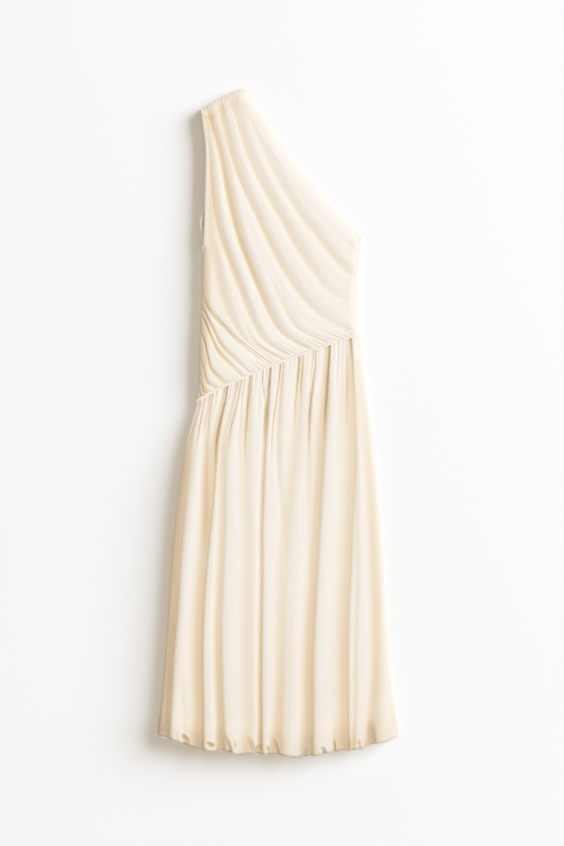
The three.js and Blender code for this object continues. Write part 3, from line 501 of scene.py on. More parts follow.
class SkirtPlan(Plan):
    """The skirt: ways run from the waist line down to the hem."""

    table = SKIRT_LIE

    def spots(self, rows: Array, ways: Array) -> Array:
        """Plan points on a grid.

        Args:
            rows: Rows of the grid.
            ways: Ways of the grid.

        Returns:
            The points, on an axis of ways by rows.
        """
        rows = np.asarray(rows, float)
        start = beside_waist(self.column(lambda r: r.shares["waist"], rows), -(WAIST_HALF + SEAM_GAP))
        hem = self.column(lambda r: r.points["hem"], rows)
        levels = [self.column(lambda r, name=name: r.shares[name], rows) for name in SKIRT_LEVELS]
        result = np.empty((len(ways), len(rows), 2))
        for i in range(len(rows)):
            drop = [-start[i, 1], *(-y for y in SKIRT_LEVELS.values()), -hem[i, 1]]
            xs = np.array([start[i, 0], *(level[i] for level in levels), hem[i, 0]])
            y = mix(start[i, 1], hem[i, 1], np.asarray(ways, float))
            result[:, i, 0] = between(drop, xs, -y)
            result[:, i, 1] = y
        return result


BODICE = BodicePlan()
SKIRT = SkirtPlan()


def chain_of(plan: Plan, rows: Array, ways: Array) -> Array:
    """A chain of points along one row or one way of a plan."""
    return plan.spots(rows, ways).reshape(-1, 2)


EDGES = {
    "shoulder": bow(SHOULDER_LINE, np.linspace(0, 1, 25)),
    "armhole": chain_of(BODICE, np.array([0.0]), np.linspace(0, 0.5, 31)),
    "left_seam": np.concatenate([
        chain_of(BODICE, np.array([0.0]), np.linspace(0.5, 0.62, 11)),
        chain_of(BODICE, np.linspace(0, -5, 41), np.array([0.62])),
    ]),
    "neck": chain_of(BODICE, np.array([8.0]), np.linspace(0, 1, 51)),
    "right_seam": right_seam(np.linspace(0, 1, 25)),
    "waist": bow(WAIST_LINE, np.linspace(0, 1, 61)),
    "skirt_left": chain_of(SKIRT, np.array([0.0]), np.linspace(0, 1, 51)),
    "skirt_right": chain_of(SKIRT, np.array([13.0]), np.linspace(0, 1, 51)),
}


@dataclass(frozen=True)
class Heights:
    """Heights of the laid cloth above the table, and how far each edge takes to reach them."""

    back_top: float = 1.3
    side_seam: float = 1.4
    shoulder: float = 2.4
    neck: float = 3.8
    armhole: float = 8.4
    waist: float = 9.4
    bodice_crest: float = 12.6
    skirt_crest: float = 18.0
    skirt_right_crest: float = 14.5
    lowest_inside: float = 5.2
    lowest_at_hem: float = 9.4
    neck_roll: float = 27.0
    armhole_roll: float = 13.0
    shoulder_roll: float = 20.0
    side_roll: float = 15.0
    waist_roll: float = 26.0
    skirt_left_roll: float = 34.0
    skirt_right_roll: float = 36.0
    skirt_top_roll: float = 30.0
    skirt_top_step: float = 2.0
    skirt_rise: float = 150.0


HEIGHTS = Heights()

BODICE_HOLLOWS = [
    Hollow(-4.15, -4.3, 6, 7, 5, 6, 4, 0.7, 1, 0.6, 0.6),
    Hollow(-3.75, -3.9, 5, 7, 4, 5, 3, 0.66, 1, 0.6, 0.5),
    Hollow(-3.1, -3.35, 7, 9, 4, 5.4, 3, 0.64, 1, 0.7, 0.3),
    Hollow(-2.3, -2.75, 9, 11, 7, 7.6, 3.6, 0.63, 1, 0.8, 0.3),
    Hollow(-1.45, -1.8, 8, 11, 7, 8, 3.6, 0.62, 1, 0.8, 0.4),
    Hollow(-0.85, -1.3, 7, 10, 6, 7.6, 3.2, 0.62, 1, 0.8, 0.4),
    Hollow(0.05, 0.05, 6, 16, 6, 7.4, 2.6, 0.63, 0.97, 0.8, 0.2),
    Hollow(0.6, 0.45, 8, 8, 0, 4, 2.4, 0.72, 1, 0.6, 0.2),
    Hollow(1, 1, 15, 18, 0.4, 5.2, 2.6, 0.22, 0.97, 0.1),
    Hollow(1.6, 1.45, 8, 10, 0, 3.4, 2.4, 0.7, 1, 0.6, 0.2),
    Hollow(2, 2, 14, 18, 3, 8, 3, 0.04, 0.98, 0.6),
    Hollow(3, 3, 12, 22, 8, 10.6, 3.2, 0, 0.99, 0.8, 0.2),
    Hollow(4, 4, 9, 18, 0, 3.4, 2, 0.58, 0.99, 0.4),
    Hollow(5, 5, 14, 24, 7.4, 6.8, 2.2, 0, 0.98, 0.6, 0.2),
    Hollow(6, 6, 14, 26, 5.6, 5.6, 1.2, 0, 0.92, 0.5),
    Hollow(7, 7, 15, 24, 2, 4.8, 3, 0.04, 0.99, 0.4),
    Hollow(7.55, 7.6, 7, 11, 0.2, 1.4, 1.6, 0.66, 0.98, 0.3),
]
SKIRT_HOLLOWS = [
    Hollow(0.12, 0.2, 6, 6, 0, 1.2, 2.6, 0.2, 1, 0.4, 0.4),
    Hollow(0.5, 0.62, 12, 17, 1, 4.4, 6.6, 0.03, 1, 0.2, 0.8, 3),
    Hollow(1.3, 1.42, 9, 15, 0, 2, 2.4, 0.8, 1, 0.2, 0.4),
    Hollow(2, 2.05, 18, 14, 6, 6, 0, 0, 0.47, 0.6, 0.6, 2),
    Hollow(2.6, 2, 30, 22, 8, 9, 9.4, 0, 1, 0.2, 0.9, 2.5),
    Hollow(3, 3, 16, 25, 5, 7, 9.4, 0, 1, 0.2, 0.9, 2),
    Hollow(3.55, 3.65, 7, 8, 4.4, 3, 0, 0, 0.22, 0.5, 0.5),
    Hollow(4, 4, 24, 19, 5, 3.8, 3.8, 0, 1, 0, 0, 0.5),
    Hollow(4.6, 4.9, 9, 9, 5, 4, 0, 0, 0.2, 0.6, 0.6),
    Hollow(5, 5, 10, 14, 8, 8.4, 10.4, 0, 1, 0.5, 0.9, 0.6),
    Hollow(6, 6.1, 9, 14, 6, 4, 0, 0, 0.48, 0.4, 0.4, 1),
    Hollow(7.1, 6, 22, 28, 5, 4.6, 7.6, 0, 1, 0.1, 0.3, 1),
    Hollow(8, 8.1, 13, 13, 5, 3.6, 0, 0, 0.48, 0.4, 0.4, 1),
    Hollow(9.05, 8.5, 28, 26, 8, 8.2, 9.2, 0, 1, 0.2, 0.9, 2.4, (0.42, 0.82)),
    Hollow(10, 10, 12, 12, 1.6, 1.4, 0, 0, 0.36),
    Hollow(10, 10, 5, 5, 0, 1, 4, 0.9, 1, 0.3, 0.3),
    Hollow(11.1, 11, 38, 16, 7, 7.4, 7.6, 0, 1, 0.2, 0.7, 2.4),
    Hollow(11.35, 11.35, 9, 12, 0, 4, 4.4, 0.26, 1, 0.1, 0.8),
    Hollow(12, 12, 20, 30, 2, 5.8, 6.6, 0.06, 1, 0.1, 0.1),
]
WAIST_GROOVES = [
    Hollow(0.7, 0.5, 4, 5, 5, 4, 0, 0, 0.14, 0.4, 0.4),
    Hollow(1.3, 1.25, 4, 5, 6, 5, 0, 0, 0.16, 0.5, 0.5),
    Hollow(1.85, 1.8, 4, 5, 6, 6, 0, 0, 0.13, 0.5, 0.5),
    Hollow(2.25, 2.2, 3, 4, 4, 3, 0, 0, 0.1, 0.4, 0.4),
    Hollow(2.68, 2.6, 4, 6, 7, 7, 0, 0, 0.24, 0.5, 0.5),
    Hollow(3.3, 3.2, 4, 6, 7, 6, 0, 0, 0.2, 0.5, 0.5),
    Hollow(3.95, 3.95, 4, 5, 7, 6, 0, 0, 0.24, 0.5, 0.5),
    Hollow(4.5, 4.5, 3, 3, 4, 3, 0, 0, 0.12, 0.4, 0.4),
    Hollow(4.93, 4.9, 5, 6, 7, 6, 0, 0, 0.2, 0.5, 0.5),
    Hollow(5.8, 5.6, 4, 5, 8, 7, 0, 0, 0.26, 0.5, 0.5),
    Hollow(7.0, 6.9, 3, 4, 6, 5, 0, 0, 0.2, 0.5, 0.5),
    Hollow(7.3, 7.2, 3, 4, 5, 4, 0, 0, 0.12, 0.5, 0.5),
    Hollow(8.22, 8.1, 4, 6, 7, 7, 0, 0, 0.26, 0.5, 0.5),
    Hollow(9.15, 9.1, 5, 6, 7, 7, 0, 0, 0.24, 0.5, 0.5),
    Hollow(9.7, 9.7, 3, 4, 3, 3, 0, 0, 0.14, 0.3, 0.3),
    Hollow(10.5, 10.5, 4, 5, 2.4, 3, 0, 0, 0.24, 0.2, 0.2),
]
HEM_POCKETS = [
    Pocket(-176, -608, 14, 22, 2.6, 0.6),
    Pocket(-128, -619, 19, 13, 2.6, 0.3),
    Pocket(-92, -626, 11, 56, 2, 0.3),
    Pocket(-82, -618, 5, 22, 1.4, 0),
    Pocket(-50, -622, 16, 44, 0.9, 0.4),
    Pocket(-39, -628, 11, 18, 2.6, -0.4),
    Pocket(-19, -629, 9, 18, 1.4, 0.3),
    Pocket(-2, -630, 9, 58, 2, 0.28),
    Pocket(50, -638, 8, 22, 2, -0.4),
    Pocket(86, -630, 13, 12, 2, 0.6),
    Pocket(108, -624, 4.4, 30, 2.2, 0.1),
    Pocket(134, -624, 6, 50, 1.4, 0),
    Pocket(154, -618, 9, 20, 1.4, 0.2),
    Pocket(179, -614, 18, 108, 1.9, 0.12),
]
SKIRT_BACK_GROOVES = [
    Hollow(1.6, 1.6, 8, 8, 1.2, 2.4, 0.8, 0.05, 0.9),
    Hollow(2.9, 2.9, 7, 7, 2, 2, 1.2, 0.03, 0.86),
    Hollow(4.2, 4.2, 9, 9, 1.6, 2.6, 1, 0.03, 0.92),
    Hollow(5.1, 5.1, 6, 6, 2.2, 1.4, 0, 0.03, 0.5),
    Hollow(7.7, 7.7, 8, 8, 2, 2.4, 0.9, 0.03, 0.9),
    Hollow(9, 9, 7, 7, 1.4, 1.8, 0.4, 0.03, 0.72),
    Hollow(10.2, 10.2, 9, 9, 1.8, 2.5, 1.4, 0.04, 0.93),
    Hollow(11.4, 11.4, 8, 8, 1, 2.2, 1.2, 0.12, 0.9),
]
BODICE_BACK_GROOVES = [
    Hollow(-2, -2, 8, 8, 0.8, 1.6, 1.2, 0.66, 0.97),
    Hollow(-0.4, -0.4, 8, 8, 0.8, 1.8, 1.2, 0.66, 0.97),
    Hollow(1.5, 1.5, 10, 10, 0.6, 1.8, 1, 0.12, 0.96),
    Hollow(3, 3, 10, 10, 1, 1.8, 1, 0.08, 0.97),
    Hollow(4.6, 4.6, 11, 11, 1, 1.8, 0.8, 0.08, 0.95),
    Hollow(6.1, 6.1, 12, 12, 0.8, 1.8, 0.8, 0.1, 0.93),
    Hollow(7.1, 7.1, 10, 10, 0.4, 1.6, 0.8, 0.2, 0.94),
]
WAIST_GATHERS = Gathers(2.2, 8, 46, 5, 0.8, 2.2)
BODICE_GATHERS = Gathers(1.7, 12, 44, 3, 0.5)
SIDE_GATHERS = Gathers(1.3, 8, 20, 3)
SHOULDER_GATHERS = Gathers(1.9, 9, 30, 7, 1.0, 1.6)
SHOULDER_GATHER_COUNT = 22
BACK_GATHERS = Gathers(1.1, 12, 34, 11)


def press_hollows(plan: Plan, table: Sequence[Hollow], rows: Array, ways: Array, fade: Array,
                  aside: float = 0.0, widths: Array | float = 1.0) -> Array:
    """Depth that the hollows of a table press into a panel.

    Args:
        plan: The panel's plan.
        table: The hollows.
        rows: Rows of the grid.
        ways: Ways of the grid.
        fade: Share of each depth that is kept, on the grid.
        aside: How far the hollows lie to the left of their rows.
        widths: Share of each width that is kept, one for each way.

    Returns:
        The depth at each spot of the grid.
    """
    spots = plan.spots(rows, ways)
    widths = np.reshape(widths, (-1, 1))
    total = np.zeros(spots.shape[:2])
    for number, hollow in enumerate(table):
        depth = hollow.depth(ways)[:, None] * fade
        bottom = hollow.rows(ways)
        middle = np.array([
            [np.interp(bottom[i], rows, spots[i, :, k]) for k in (0, 1)]
            for i in range(len(ways))
        ])
        side = np.sign(rows[None, :] - bottom[:, None])
        drift = HOLLOW_DRIFT * wander(ways * 7.0 + number * 3.7, 2.0 + number) * ease(0.02, 0.12, ways)
        across = np.linalg.norm(spots - middle[:, None], axis=-1) * side - drift[:, None] + aside
        near = np.abs(rows[None, :] - bottom[:, None]) < HOLLOW_ROWS
        half = np.where(across < 0, hollow.left, hollow.right) - hollow.flat
        reach = np.maximum(np.abs(across) - hollow.flat * widths, 0)
        crisp = np.where(across < 0, hollow.crisp_left, hollow.crisp_right)
        away_share = np.where(near, reach / (half * widths), 9.0)
        round_fall = 0.5 * (1 + np.cos(np.pi * clamp(away_share, 0, 1)))
        crisp_fall = 0.5 * (1 + np.cos(np.pi * clamp(away_share * CRISP_NARROWING, 0, 1)))
        total += depth * mix(round_fall, crisp_fall, CRISP_SHARE * crisp)
    return total


def show(name: str, data: bpy.types.ID) -> bpy.types.Object:
    """Put a new object into the scene."""
    thing = bpy.data.objects.new(name, data)
    bpy.context.scene.collection.objects.link(thing)
    return thing


def make_piece(name: str, places: Array, faces: list, hollow: Array) -> bpy.types.Object:
    """Make a piece from its points and faces.

    Args:
        name: The piece's name.
        places: Its points in the frame, in millimetres.
        faces: Its faces, as point numbers.
        hollow: The painted shade of each point, from 0 on a crest to 1, which its cloth reads.

    Returns:
        The piece.
    """
    mesh = bpy.data.meshes.new(name)
    mesh.from_pydata((places * MM).tolist(), [], faces)
    data = mesh.attributes.new("hollow", "FLOAT", "POINT")
    data.data.foreach_set("value", hollow.ravel().astype(np.float32))
    return show(name, mesh)


@dataclass
class Cloth:
    """A sheet of cloth on a grid of rows and ways, turned into a thin closed shell.

    Its points are those of the outer face, in millimetres. Kept says which of them the sheet has, side
    which way its outer face looks, and hollow how much painted shade each point takes, most of it from
    how deep the point lies in the folds.
    """

    points: Array
    kept: Array
    side: Side
    hollow: Array

    def normals(self) -> Array:
        """Unit normals that point out of the shell."""
        along = np.gradient(self.points, axis=0)
        across = np.gradient(self.points, axis=1)
        normal = np.cross(along, across)
        length = np.linalg.norm(normal, axis=-1, keepdims=True)
        normal = normal / np.maximum(length, 1e-9)
        if np.sum(normal[..., 2][self.kept]) * self.side.value < 0:
            normal = -normal
        normal[length[..., 0] < 1e-7] = (0, 0, self.side.value)
        return normal

    def build(self, name: str, thick: Array | float, shift: Array) -> bpy.types.Object:
        """Make the shell's object.

        Args:
            name: The object's name.
            thick: Thickness of the cloth, in millimetres.
            shift: Step from the tables' own origin to the frame's.

        Returns:
            The finished object.
        """
        number = np.full(self.kept.shape, -1)
        number[self.kept] = np.arange(int(self.kept.sum()))
        outer = self.points[self.kept]
        step = (self.normals() * np.asarray(thick)[..., None])[self.kept]
        inner = outer - step
        inner = np.where(inner[:, 2:] < 0, outer + step, inner)
        cell = self.kept[:-1, :-1] & self.kept[1:, :-1] & self.kept[:-1, 1:] & self.kept[1:, 1:]
        r, c = np.nonzero(cell)
        quads = np.stack([number[r, c], number[r + 1, c], number[r + 1, c + 1], number[r, c + 1]], axis=1)
        count = len(outer)
        edges = np.concatenate([quads[:, [k, (k + 1) % 4]] for k in range(4)])
        keys = edges[:, 0] * count + edges[:, 1]
        back = edges[:, 1] * count + edges[:, 0]
        rim = edges[~np.isin(keys, back)]
        walls = np.stack([rim[:, 1], rim[:, 0], rim[:, 0] + count, rim[:, 1] + count], axis=1)
        faces = np.concatenate([quads, quads[:, ::-1] + count, walls])
        places = np.concatenate([outer, inner]) + shift
        piece = make_piece(name, places, faces.tolist(), np.tile(self.hollow[self.kept], 2))
        tidy_shell(piece, RIM_CREASE)
        return piece


def tidy_shell(piece: bpy.types.Object, crease: float = math.pi) -> None:
    """Close corners where rows meet, face the shell outwards and smooth it.

    Args:
        piece: The shell's object.
        crease: The angle between two faces, in radians, from which their edge stays crisp.
    """
    work = bmesh.new()
    work.from_mesh(piece.data)
    bmesh.ops.remove_doubles(work, verts=work.verts, dist=1e-6)
    bmesh.ops.dissolve_degenerate(work, dist=1e-7, edges=work.edges)
    bmesh.ops.recalc_face_normals(work, faces=work.faces)
    for face in work.faces:
        face.smooth = True
    for edge in work.edges:
        edge.smooth = edge.calc_face_angle(0.0) < crease
    work.to_mesh(piece.data)
    work.free()
    piece.data.update()


def spread(plan: Plan, first: float, per_gather: int, least: int) -> Array:
    """Rows of a grid, dense where the gathers are.

    Args:
        plan: The panel's plan.
        first: The first row.
        per_gather: Grid steps for each gather.
        least: The fewest grid steps in one row of the table.

    Returns:
        The rows, rising.
    """
    rows: list[float] = []
    for r in plan.table[:-1]:
        if r.row < first:
            continue
        count = max(per_gather * r.gathers, least)
        rows.extend(r.row + i / count for i in range(count))
    return np.array([*rows, plan.table[-1].row])


def level(edge: str, spots: Array, height: float, crest: Array | float, reach: Array | float,
          fall: float = EDGE_FALL) -> Array:
    """Height of the cloth where it rolls up from one edge."""
    return mix(height, crest, roll(away(EDGES[edge], spots), reach, fall))


def nearest(spots: Array, *names: str) -> Array:
    """Distance of each spot from the nearest of some edges."""
    return np.min([away(EDGES[name], spots) for name in names], axis=0)


def turned_hem(hem: Array, turn: Array | float, length: float, folds: int, lengths: int) -> list[Array]:
    """Rows that carry a hem round a half turn and back inside the skirt.

    Args:
        hem: The last row of the outer face.
        turn: Half the height of the turn, positive where it goes up.
        length: How far the loose end runs back from the turn.
        folds: Points round the turn.
        lengths: Points along the loose end.

    Returns:
        The rows in order, each on an axis of its own.
    """
    rows = []
    for angle in np.linspace(0, math.pi, folds)[1:]:
        row = hem.copy()
        row[:, 1] -= np.abs(turn) * math.sin(angle)
        row[:, 2] += turn * (1 - math.cos(angle))
        rows.append(row[None])
    for distance in np.linspace(0, length, lengths)[1:]:
        row = hem.copy()
        row[:, 1] += distance
        row[:, 2] += 2 * turn
        rows.append(row[None])
    return rows


@dataclass
class BodiceFront:
    """The front bodice, draped from its one shoulder to the slanting waist."""

    shift: Array
    thick: float = 0.9
    turned_edge: float = 1.8
    ruffle: float = 0.22
    pressed: float = 0.52
    aside: float = 6.0
    held_share: float = 0.12
    edge_fade: tuple[float, float] = (0.0, 9.0)
    shoulder_fade: tuple[float, float] = (2.0, 24.0)
    shoulder_gathers_to: float = 0.3
    # Painted shade by the left seam, armhole and shoulder, over the lower left and in the gathers.
    seam_shade: float = 5.6
    left_shade: float = 1.5
    armhole_shade: float = 2.2
    shoulder_shade: float = 2.2
    edge_shade_reach: tuple[float, float] = (24.0, 12.0)
    left_shade_reach: tuple[float, float] = (100.0, 24.0)
    shoulder_shade_reach: tuple[float, float] = (36.0, 4.0)
    shade_heights: tuple[float, float] = (400.0, 250.0)
    fine_shade: float = 3.4
    turned_reach: tuple[float, float] = (4.0, 7.0)

    def grid(self) -> tuple[Array, Array]:
        """Rows and ways of its grid."""
        rows = spread(BODICE, -5, 6, 12)
        ways = np.concatenate([np.linspace(0, 0.1, 22)[:-1], np.linspace(0.1, 0.62, 72)[:-1],
                               np.linspace(0.62, 0.86, 34)[:-1], np.linspace(0.86, 1, 34)])
        return rows, ways

    def top(self, rows: Array, ways: Array) -> tuple[Array, Array]:
        """Outer face of the panel.

        Args:
            rows: Rows of the grid.
            ways: Ways of the grid.

        Returns:
            The outer points, and each point's painted shade: its fold depth, gathers and shaded edges.
        """
        spots = BODICE.spots(rows, ways)
        crown = np.min([
            level("shoulder", spots, HEIGHTS.shoulder, HEIGHTS.bodice_crest, HEIGHTS.shoulder_roll),
            level("armhole", spots, HEIGHTS.armhole, HEIGHTS.bodice_crest, HEIGHTS.armhole_roll),
            level("left_seam", spots, HEIGHTS.side_seam, HEIGHTS.bodice_crest, HEIGHTS.side_roll),
            level("neck", spots, HEIGHTS.neck, HEIGHTS.bodice_crest, HEIGHTS.neck_roll),
            level("right_seam", spots, HEIGHTS.side_seam, HEIGHTS.bodice_crest, HEIGHTS.side_roll),
            level("waist", spots, HEIGHTS.waist, HEIGHTS.bodice_crest, HEIGHTS.waist_roll),
        ], axis=0)
        inside = nearest(spots, "left_seam", "right_seam", "neck", "armhole")
        shoulder = away(EDGES["shoulder"], spots)
        free = ease(*self.edge_fade, inside) * ease(*self.shoulder_fade, shoulder)
        fade = mix(self.held_share, 1.0, free)
        hollow = press_hollows(BODICE, BODICE_HOLLOWS, rows, ways, fade, self.aside)
        count = BODICE.count(rows)[None, :]
        lower = (ways > STATION["ribs"])[:, None] * ease(0, 5, inside + 1)
        at_waist = BODICE_GATHERS.fall(count, away(EDGES["waist"], spots)) * (rows <= 5)[None, :]
        at_side = SIDE_GATHERS.fall(count, away(EDGES["right_seam"], spots)) * (rows > 5)[None, :]
        share = BODICE.column(lambda r: r.shares["top"], clamp(rows, 0, 8), 0)[None, :]
        at_shoulder = SHOULDER_GATHERS.fall(share * SHOULDER_GATHER_COUNT, shoulder)
        at_shoulder = at_shoulder * ease(0.7, 0.55, share) * (ways < self.shoulder_gathers_to)[:, None]
        fine = (at_waist + at_side) * lower + at_shoulder
        wrinkle = self.ruffle * ripple(count * 0.9 + 40, ways[:, None] * 9.0, 4) * ease(3, 16, inside)
        height = np.maximum(crown - self.pressed * hollow - fine + wrinkle, HEIGHTS.side_seam)
        # Painted shade by the left seam, armhole and shoulder, over the lower left and in gathers.
        lower_down = ease(*self.shade_heights, spots[..., 1])
        edge = nearest(spots, "left_seam", "armhole")
        under = mix(self.armhole_shade, self.seam_shade, lower_down) * ease(*self.edge_shade_reach, edge)
        under = under + self.left_shade * ease(*self.left_shade_reach, edge) * lower_down
        under = under + self.shoulder_shade * ease(*self.shoulder_shade_reach, shoulder)
        points = np.concatenate([spots, height[..., None]], axis=-1)
        return points, hollow + self.fine_shade * fine + under

    def build(self) -> bpy.types.Object:
        """Make the panel."""
        rows, ways = self.grid()
        points, hollow = self.top(rows, ways)
        cloth = Cloth(points, BODICE.kept(rows, ways), Side.FRONT, hollow / SHADE_DEPTH)
        opening = nearest(points[..., :2], "neck", "armhole")
        thick = mix(self.turned_edge, self.thick, ease(*self.turned_reach, opening))
        return cloth.build("bodice_front_cloth", thick, self.shift)


@dataclass
class BodiceBack:
    """The back bodice, flat on the table, with a bowed armhole edge that shows past the front."""

    shift: Array
    thick: float = 0.9
    bow_out: float = 8.5
    bow_at: float = 381.0
    bow_reach: float = 20.0
    bow_rows: float = 2.4
    bow_to: float = 0.6
    # Painted shade on the bowed edge that shows past the front.
    bow_shade: float = 0.65

    def build(self) -> bpy.types.Object:
        """Make the panel."""
        rows = spread(BODICE, -5, 2, 6)
        ways = np.concatenate([np.linspace(0, 0.62, 90)[:-1], np.linspace(0.62, 1, 46)])
        spots = BODICE.spots(rows, ways)
        near = np.exp(-(((spots[..., 1] - self.bow_at) / self.bow_reach) ** 2))
        bowed = (rows >= 0)[None, :] & (ways < self.bow_to)[:, None]
        pull = near * ease(self.bow_rows, 0, rows)[None, :] * self.bow_out * bowed
        inside = nearest(spots, "left_seam", "armhole", "neck", "right_seam", "shoulder")
        groove = press_hollows(BODICE, BODICE_BACK_GROOVES, rows, ways, ease(6, 18, inside))
        points = np.stack([spots[..., 0] - pull, spots[..., 1], groove], axis=-1)
        # Painted shade in the grooves and on the bowed edge that shows past the front.
        hollow = groove / SHADE_DEPTH + self.bow_shade * pull / self.bow_out
        cloth = Cloth(points, BODICE.kept(rows, ways), Side.BACK, hollow)
        return cloth.build("bodice_back_cloth", np.full(hollow.shape, self.thick), self.shift)


@dataclass
class SkirtFront:
    """The front skirt, gathered at the waist, with a blown hem turned in."""

    shift: Array
    thick: float = 0.9
    ruffle: float = 0.25
    pressed: float = 0.57
    aside: float = 2.0
    hem_return: float = 22.0
    least_turn: float = 1.7
    largest_turn: float = 6.4
    return_floor: float = 6.3
    room_ways: tuple[float, float] = (0.8, 0.95)
    puff: float = 2.6
    notch: float = 0.5
    lobe: float = 1.2
    right_rows: tuple[float, float] = (9.0, 12.6)
    hem_ways: tuple[float, float] = (0.86, 0.97)
    side_floor: float = 26.0
    left_fall: float = 0.9
    # Painted shade by both side edges, towards the hem, and in grooves, gathers, pockets and hem hollows.
    left_shade: float = 4.5
    left_shade_reach: tuple[float, float] = (30.0, 15.0)
    edge_shade: float = 5.0
    edge_shade_reach: tuple[float, float] = (14.0, 5.0)
    right_shade: float = 1.4
    right_shade_reach: tuple[float, float] = (46.0, 10.0)
    fine_shade: float = 2.6
    groove_shade: float = 1.1
    low_shade: float = 1.5
    low_shade_heights: tuple[float, float] = (-240.0, -600.0)
    pocket_shade: float = 4.2
    hem_shade: float = 3.6
    turn_rows: tuple[float, float] = (0.16, 12.84)

    def height(self, rows: Array, ways: Array) -> tuple[Array, Array]:
        """Height of the panel above the table, before its hem is turned.

        Args:
            rows: Rows of the grid.
            ways: Ways of the grid.

        Returns:
            The height of the outer face on the grid, and each point's painted shade: its depth in the
            folds, more by the side edges, in grooves and gathers, and towards the hem.
        """
        spots = SKIRT.spots(rows, ways)
        waist = away(EDGES["waist"], spots)
        rise = ease(0, HEIGHTS.skirt_rise, waist)
        right = ease(*self.right_rows, rows)[None, :]
        crest = mix(HEIGHTS.skirt_crest, HEIGHTS.skirt_right_crest, right)
        crest = mix(HEIGHTS.waist + HEIGHTS.skirt_top_step, crest, rise)
        left_roll = mix(HEIGHTS.side_roll, HEIGHTS.skirt_left_roll, rise)
        right_roll = mix(HEIGHTS.side_roll, HEIGHTS.skirt_right_roll, rise)
        crown = np.min([
            level("skirt_left", spots, HEIGHTS.side_seam, crest, left_roll, self.left_fall),
            level("skirt_right", spots, HEIGHTS.side_seam, crest, right_roll),
            mix(HEIGHTS.waist, crest, roll(waist, HEIGHTS.skirt_top_roll)),
        ], axis=0)
        inside = nearest(spots, "skirt_left", "skirt_right")
        hollow = press_hollows(SKIRT, SKIRT_HOLLOWS, rows, ways, ease(0, 12, inside), self.aside,
                               mix(0.35, 1.0, ease(0.0, 0.16, ways)))
        groove = press_hollows(SKIRT, WAIST_GROOVES, rows, ways, ease(0, 8, inside), self.aside,
                               mix(0.5, 1.0, ease(0.0, 0.05, ways)))
        count = SKIRT.count(rows)[None, :]
        fine = WAIST_GATHERS.fall(count, waist) * ease(0, 5, inside + 1)
        wrinkle = self.ruffle * ripple(count * 0.8 + 20, ways[:, None] * 6.0, 9) * ease(4, 20, inside)
        blown = self.puff * ease(0.9, 0.965, ways) * ease(1.02, 0.975, ways)
        height = crown - self.pressed * (hollow + groove) - fine + wrinkle
        height = height + blown[:, None] * ease(0, 20, inside)
        least = mix(HEIGHTS.lowest_inside, HEIGHTS.lowest_at_hem, ease(*self.hem_ways, ways))[:, None]
        least = mix(HEIGHTS.side_seam, least, ease(0, self.side_floor, inside))
        # Painted shade by the left edge, less near the waist, by the right edge and towards the hem.
        left, right = away(EDGES["skirt_left"], spots), away(EDGES["skirt_right"], spots)
        under = self.left_shade * ease(*self.left_shade_reach, left)
        under = under + self.edge_shade * ease(*self.edge_shade_reach, left)
        under = under * mix(0.2, 1, rise) + self.right_shade * ease(*self.right_shade_reach, right)
        under = under + self.low_shade * ease(*self.low_shade_heights, spots[..., 1])
        hollow = hollow + self.groove_shade * groove + self.fine_shade * fine + under
        return np.maximum(height, least), hollow

    def build(self) -> bpy.types.Object:
        """Make the panel, its turn and its loose end inside."""
        rows = spread(SKIRT, 0, 6, 18)
        ways = np.concatenate([np.linspace(0, 0.14, 32)[:-1], np.linspace(0.14, 0.86, 60)[:-1],
                               np.linspace(0.86, 0.95, 13)[:-1], np.linspace(0.95, 1, 26)])
        height, hollow = self.height(rows, ways)
        place = SKIRT.spots(rows, ways)
        x, y = place[..., 0], place[..., 1]
        # Each hem pocket sinks the cloth and takes painted shade inside; the hem's hollows take more
        # painted shade.
        for pocket in HEM_POCKETS:
            bowl = pocket.bowl(x, y)
            height = height - bowl + pocket.lip(x, y)
            hollow = hollow + self.pocket_shade * bowl
        hollow = hollow + self.hem_shade * clamp(hollow / 6.0, 0, 1) * ease(0.9, 0.99, ways)[:, None]
        inside = nearest(place, "skirt_left", "skirt_right")
        room = (self.return_floor + 2) * ease(*self.room_ways, ways)[:, None] * ease(-1, 5, inside)
        height = np.maximum(height, room)
        turn = clamp((height[-1] - self.return_floor) / 2, self.least_turn, self.largest_turn)
        lobe = self.notch * clamp(hollow[-1], 0, 9) + self.lobe * ripple(rows * 2.6 + 3, rows * 0 + 0.5, 8)
        place[..., 1] += (turn + lobe)[None, :] * ease(0.9, 1, ways)[:, None]
        sheet = [np.concatenate([place, height[..., None]], axis=-1)]
        points = np.concatenate(sheet + turned_hem(sheet[0][-1], -turn, self.hem_return, 11, 6))
        kept = np.ones(points.shape[:2], bool)
        within = (rows >= self.turn_rows[0]) & (rows <= self.turn_rows[1])
        kept[len(ways):] = within[None, :]
        hollow = np.concatenate([hollow, np.repeat(hollow[-1:], len(points) - len(ways), axis=0)])
        cloth = Cloth(points, kept, Side.FRONT, hollow / SHADE_DEPTH)
        return cloth.build("skirt_front_cloth", np.full(points.shape[:2], self.thick), self.shift)


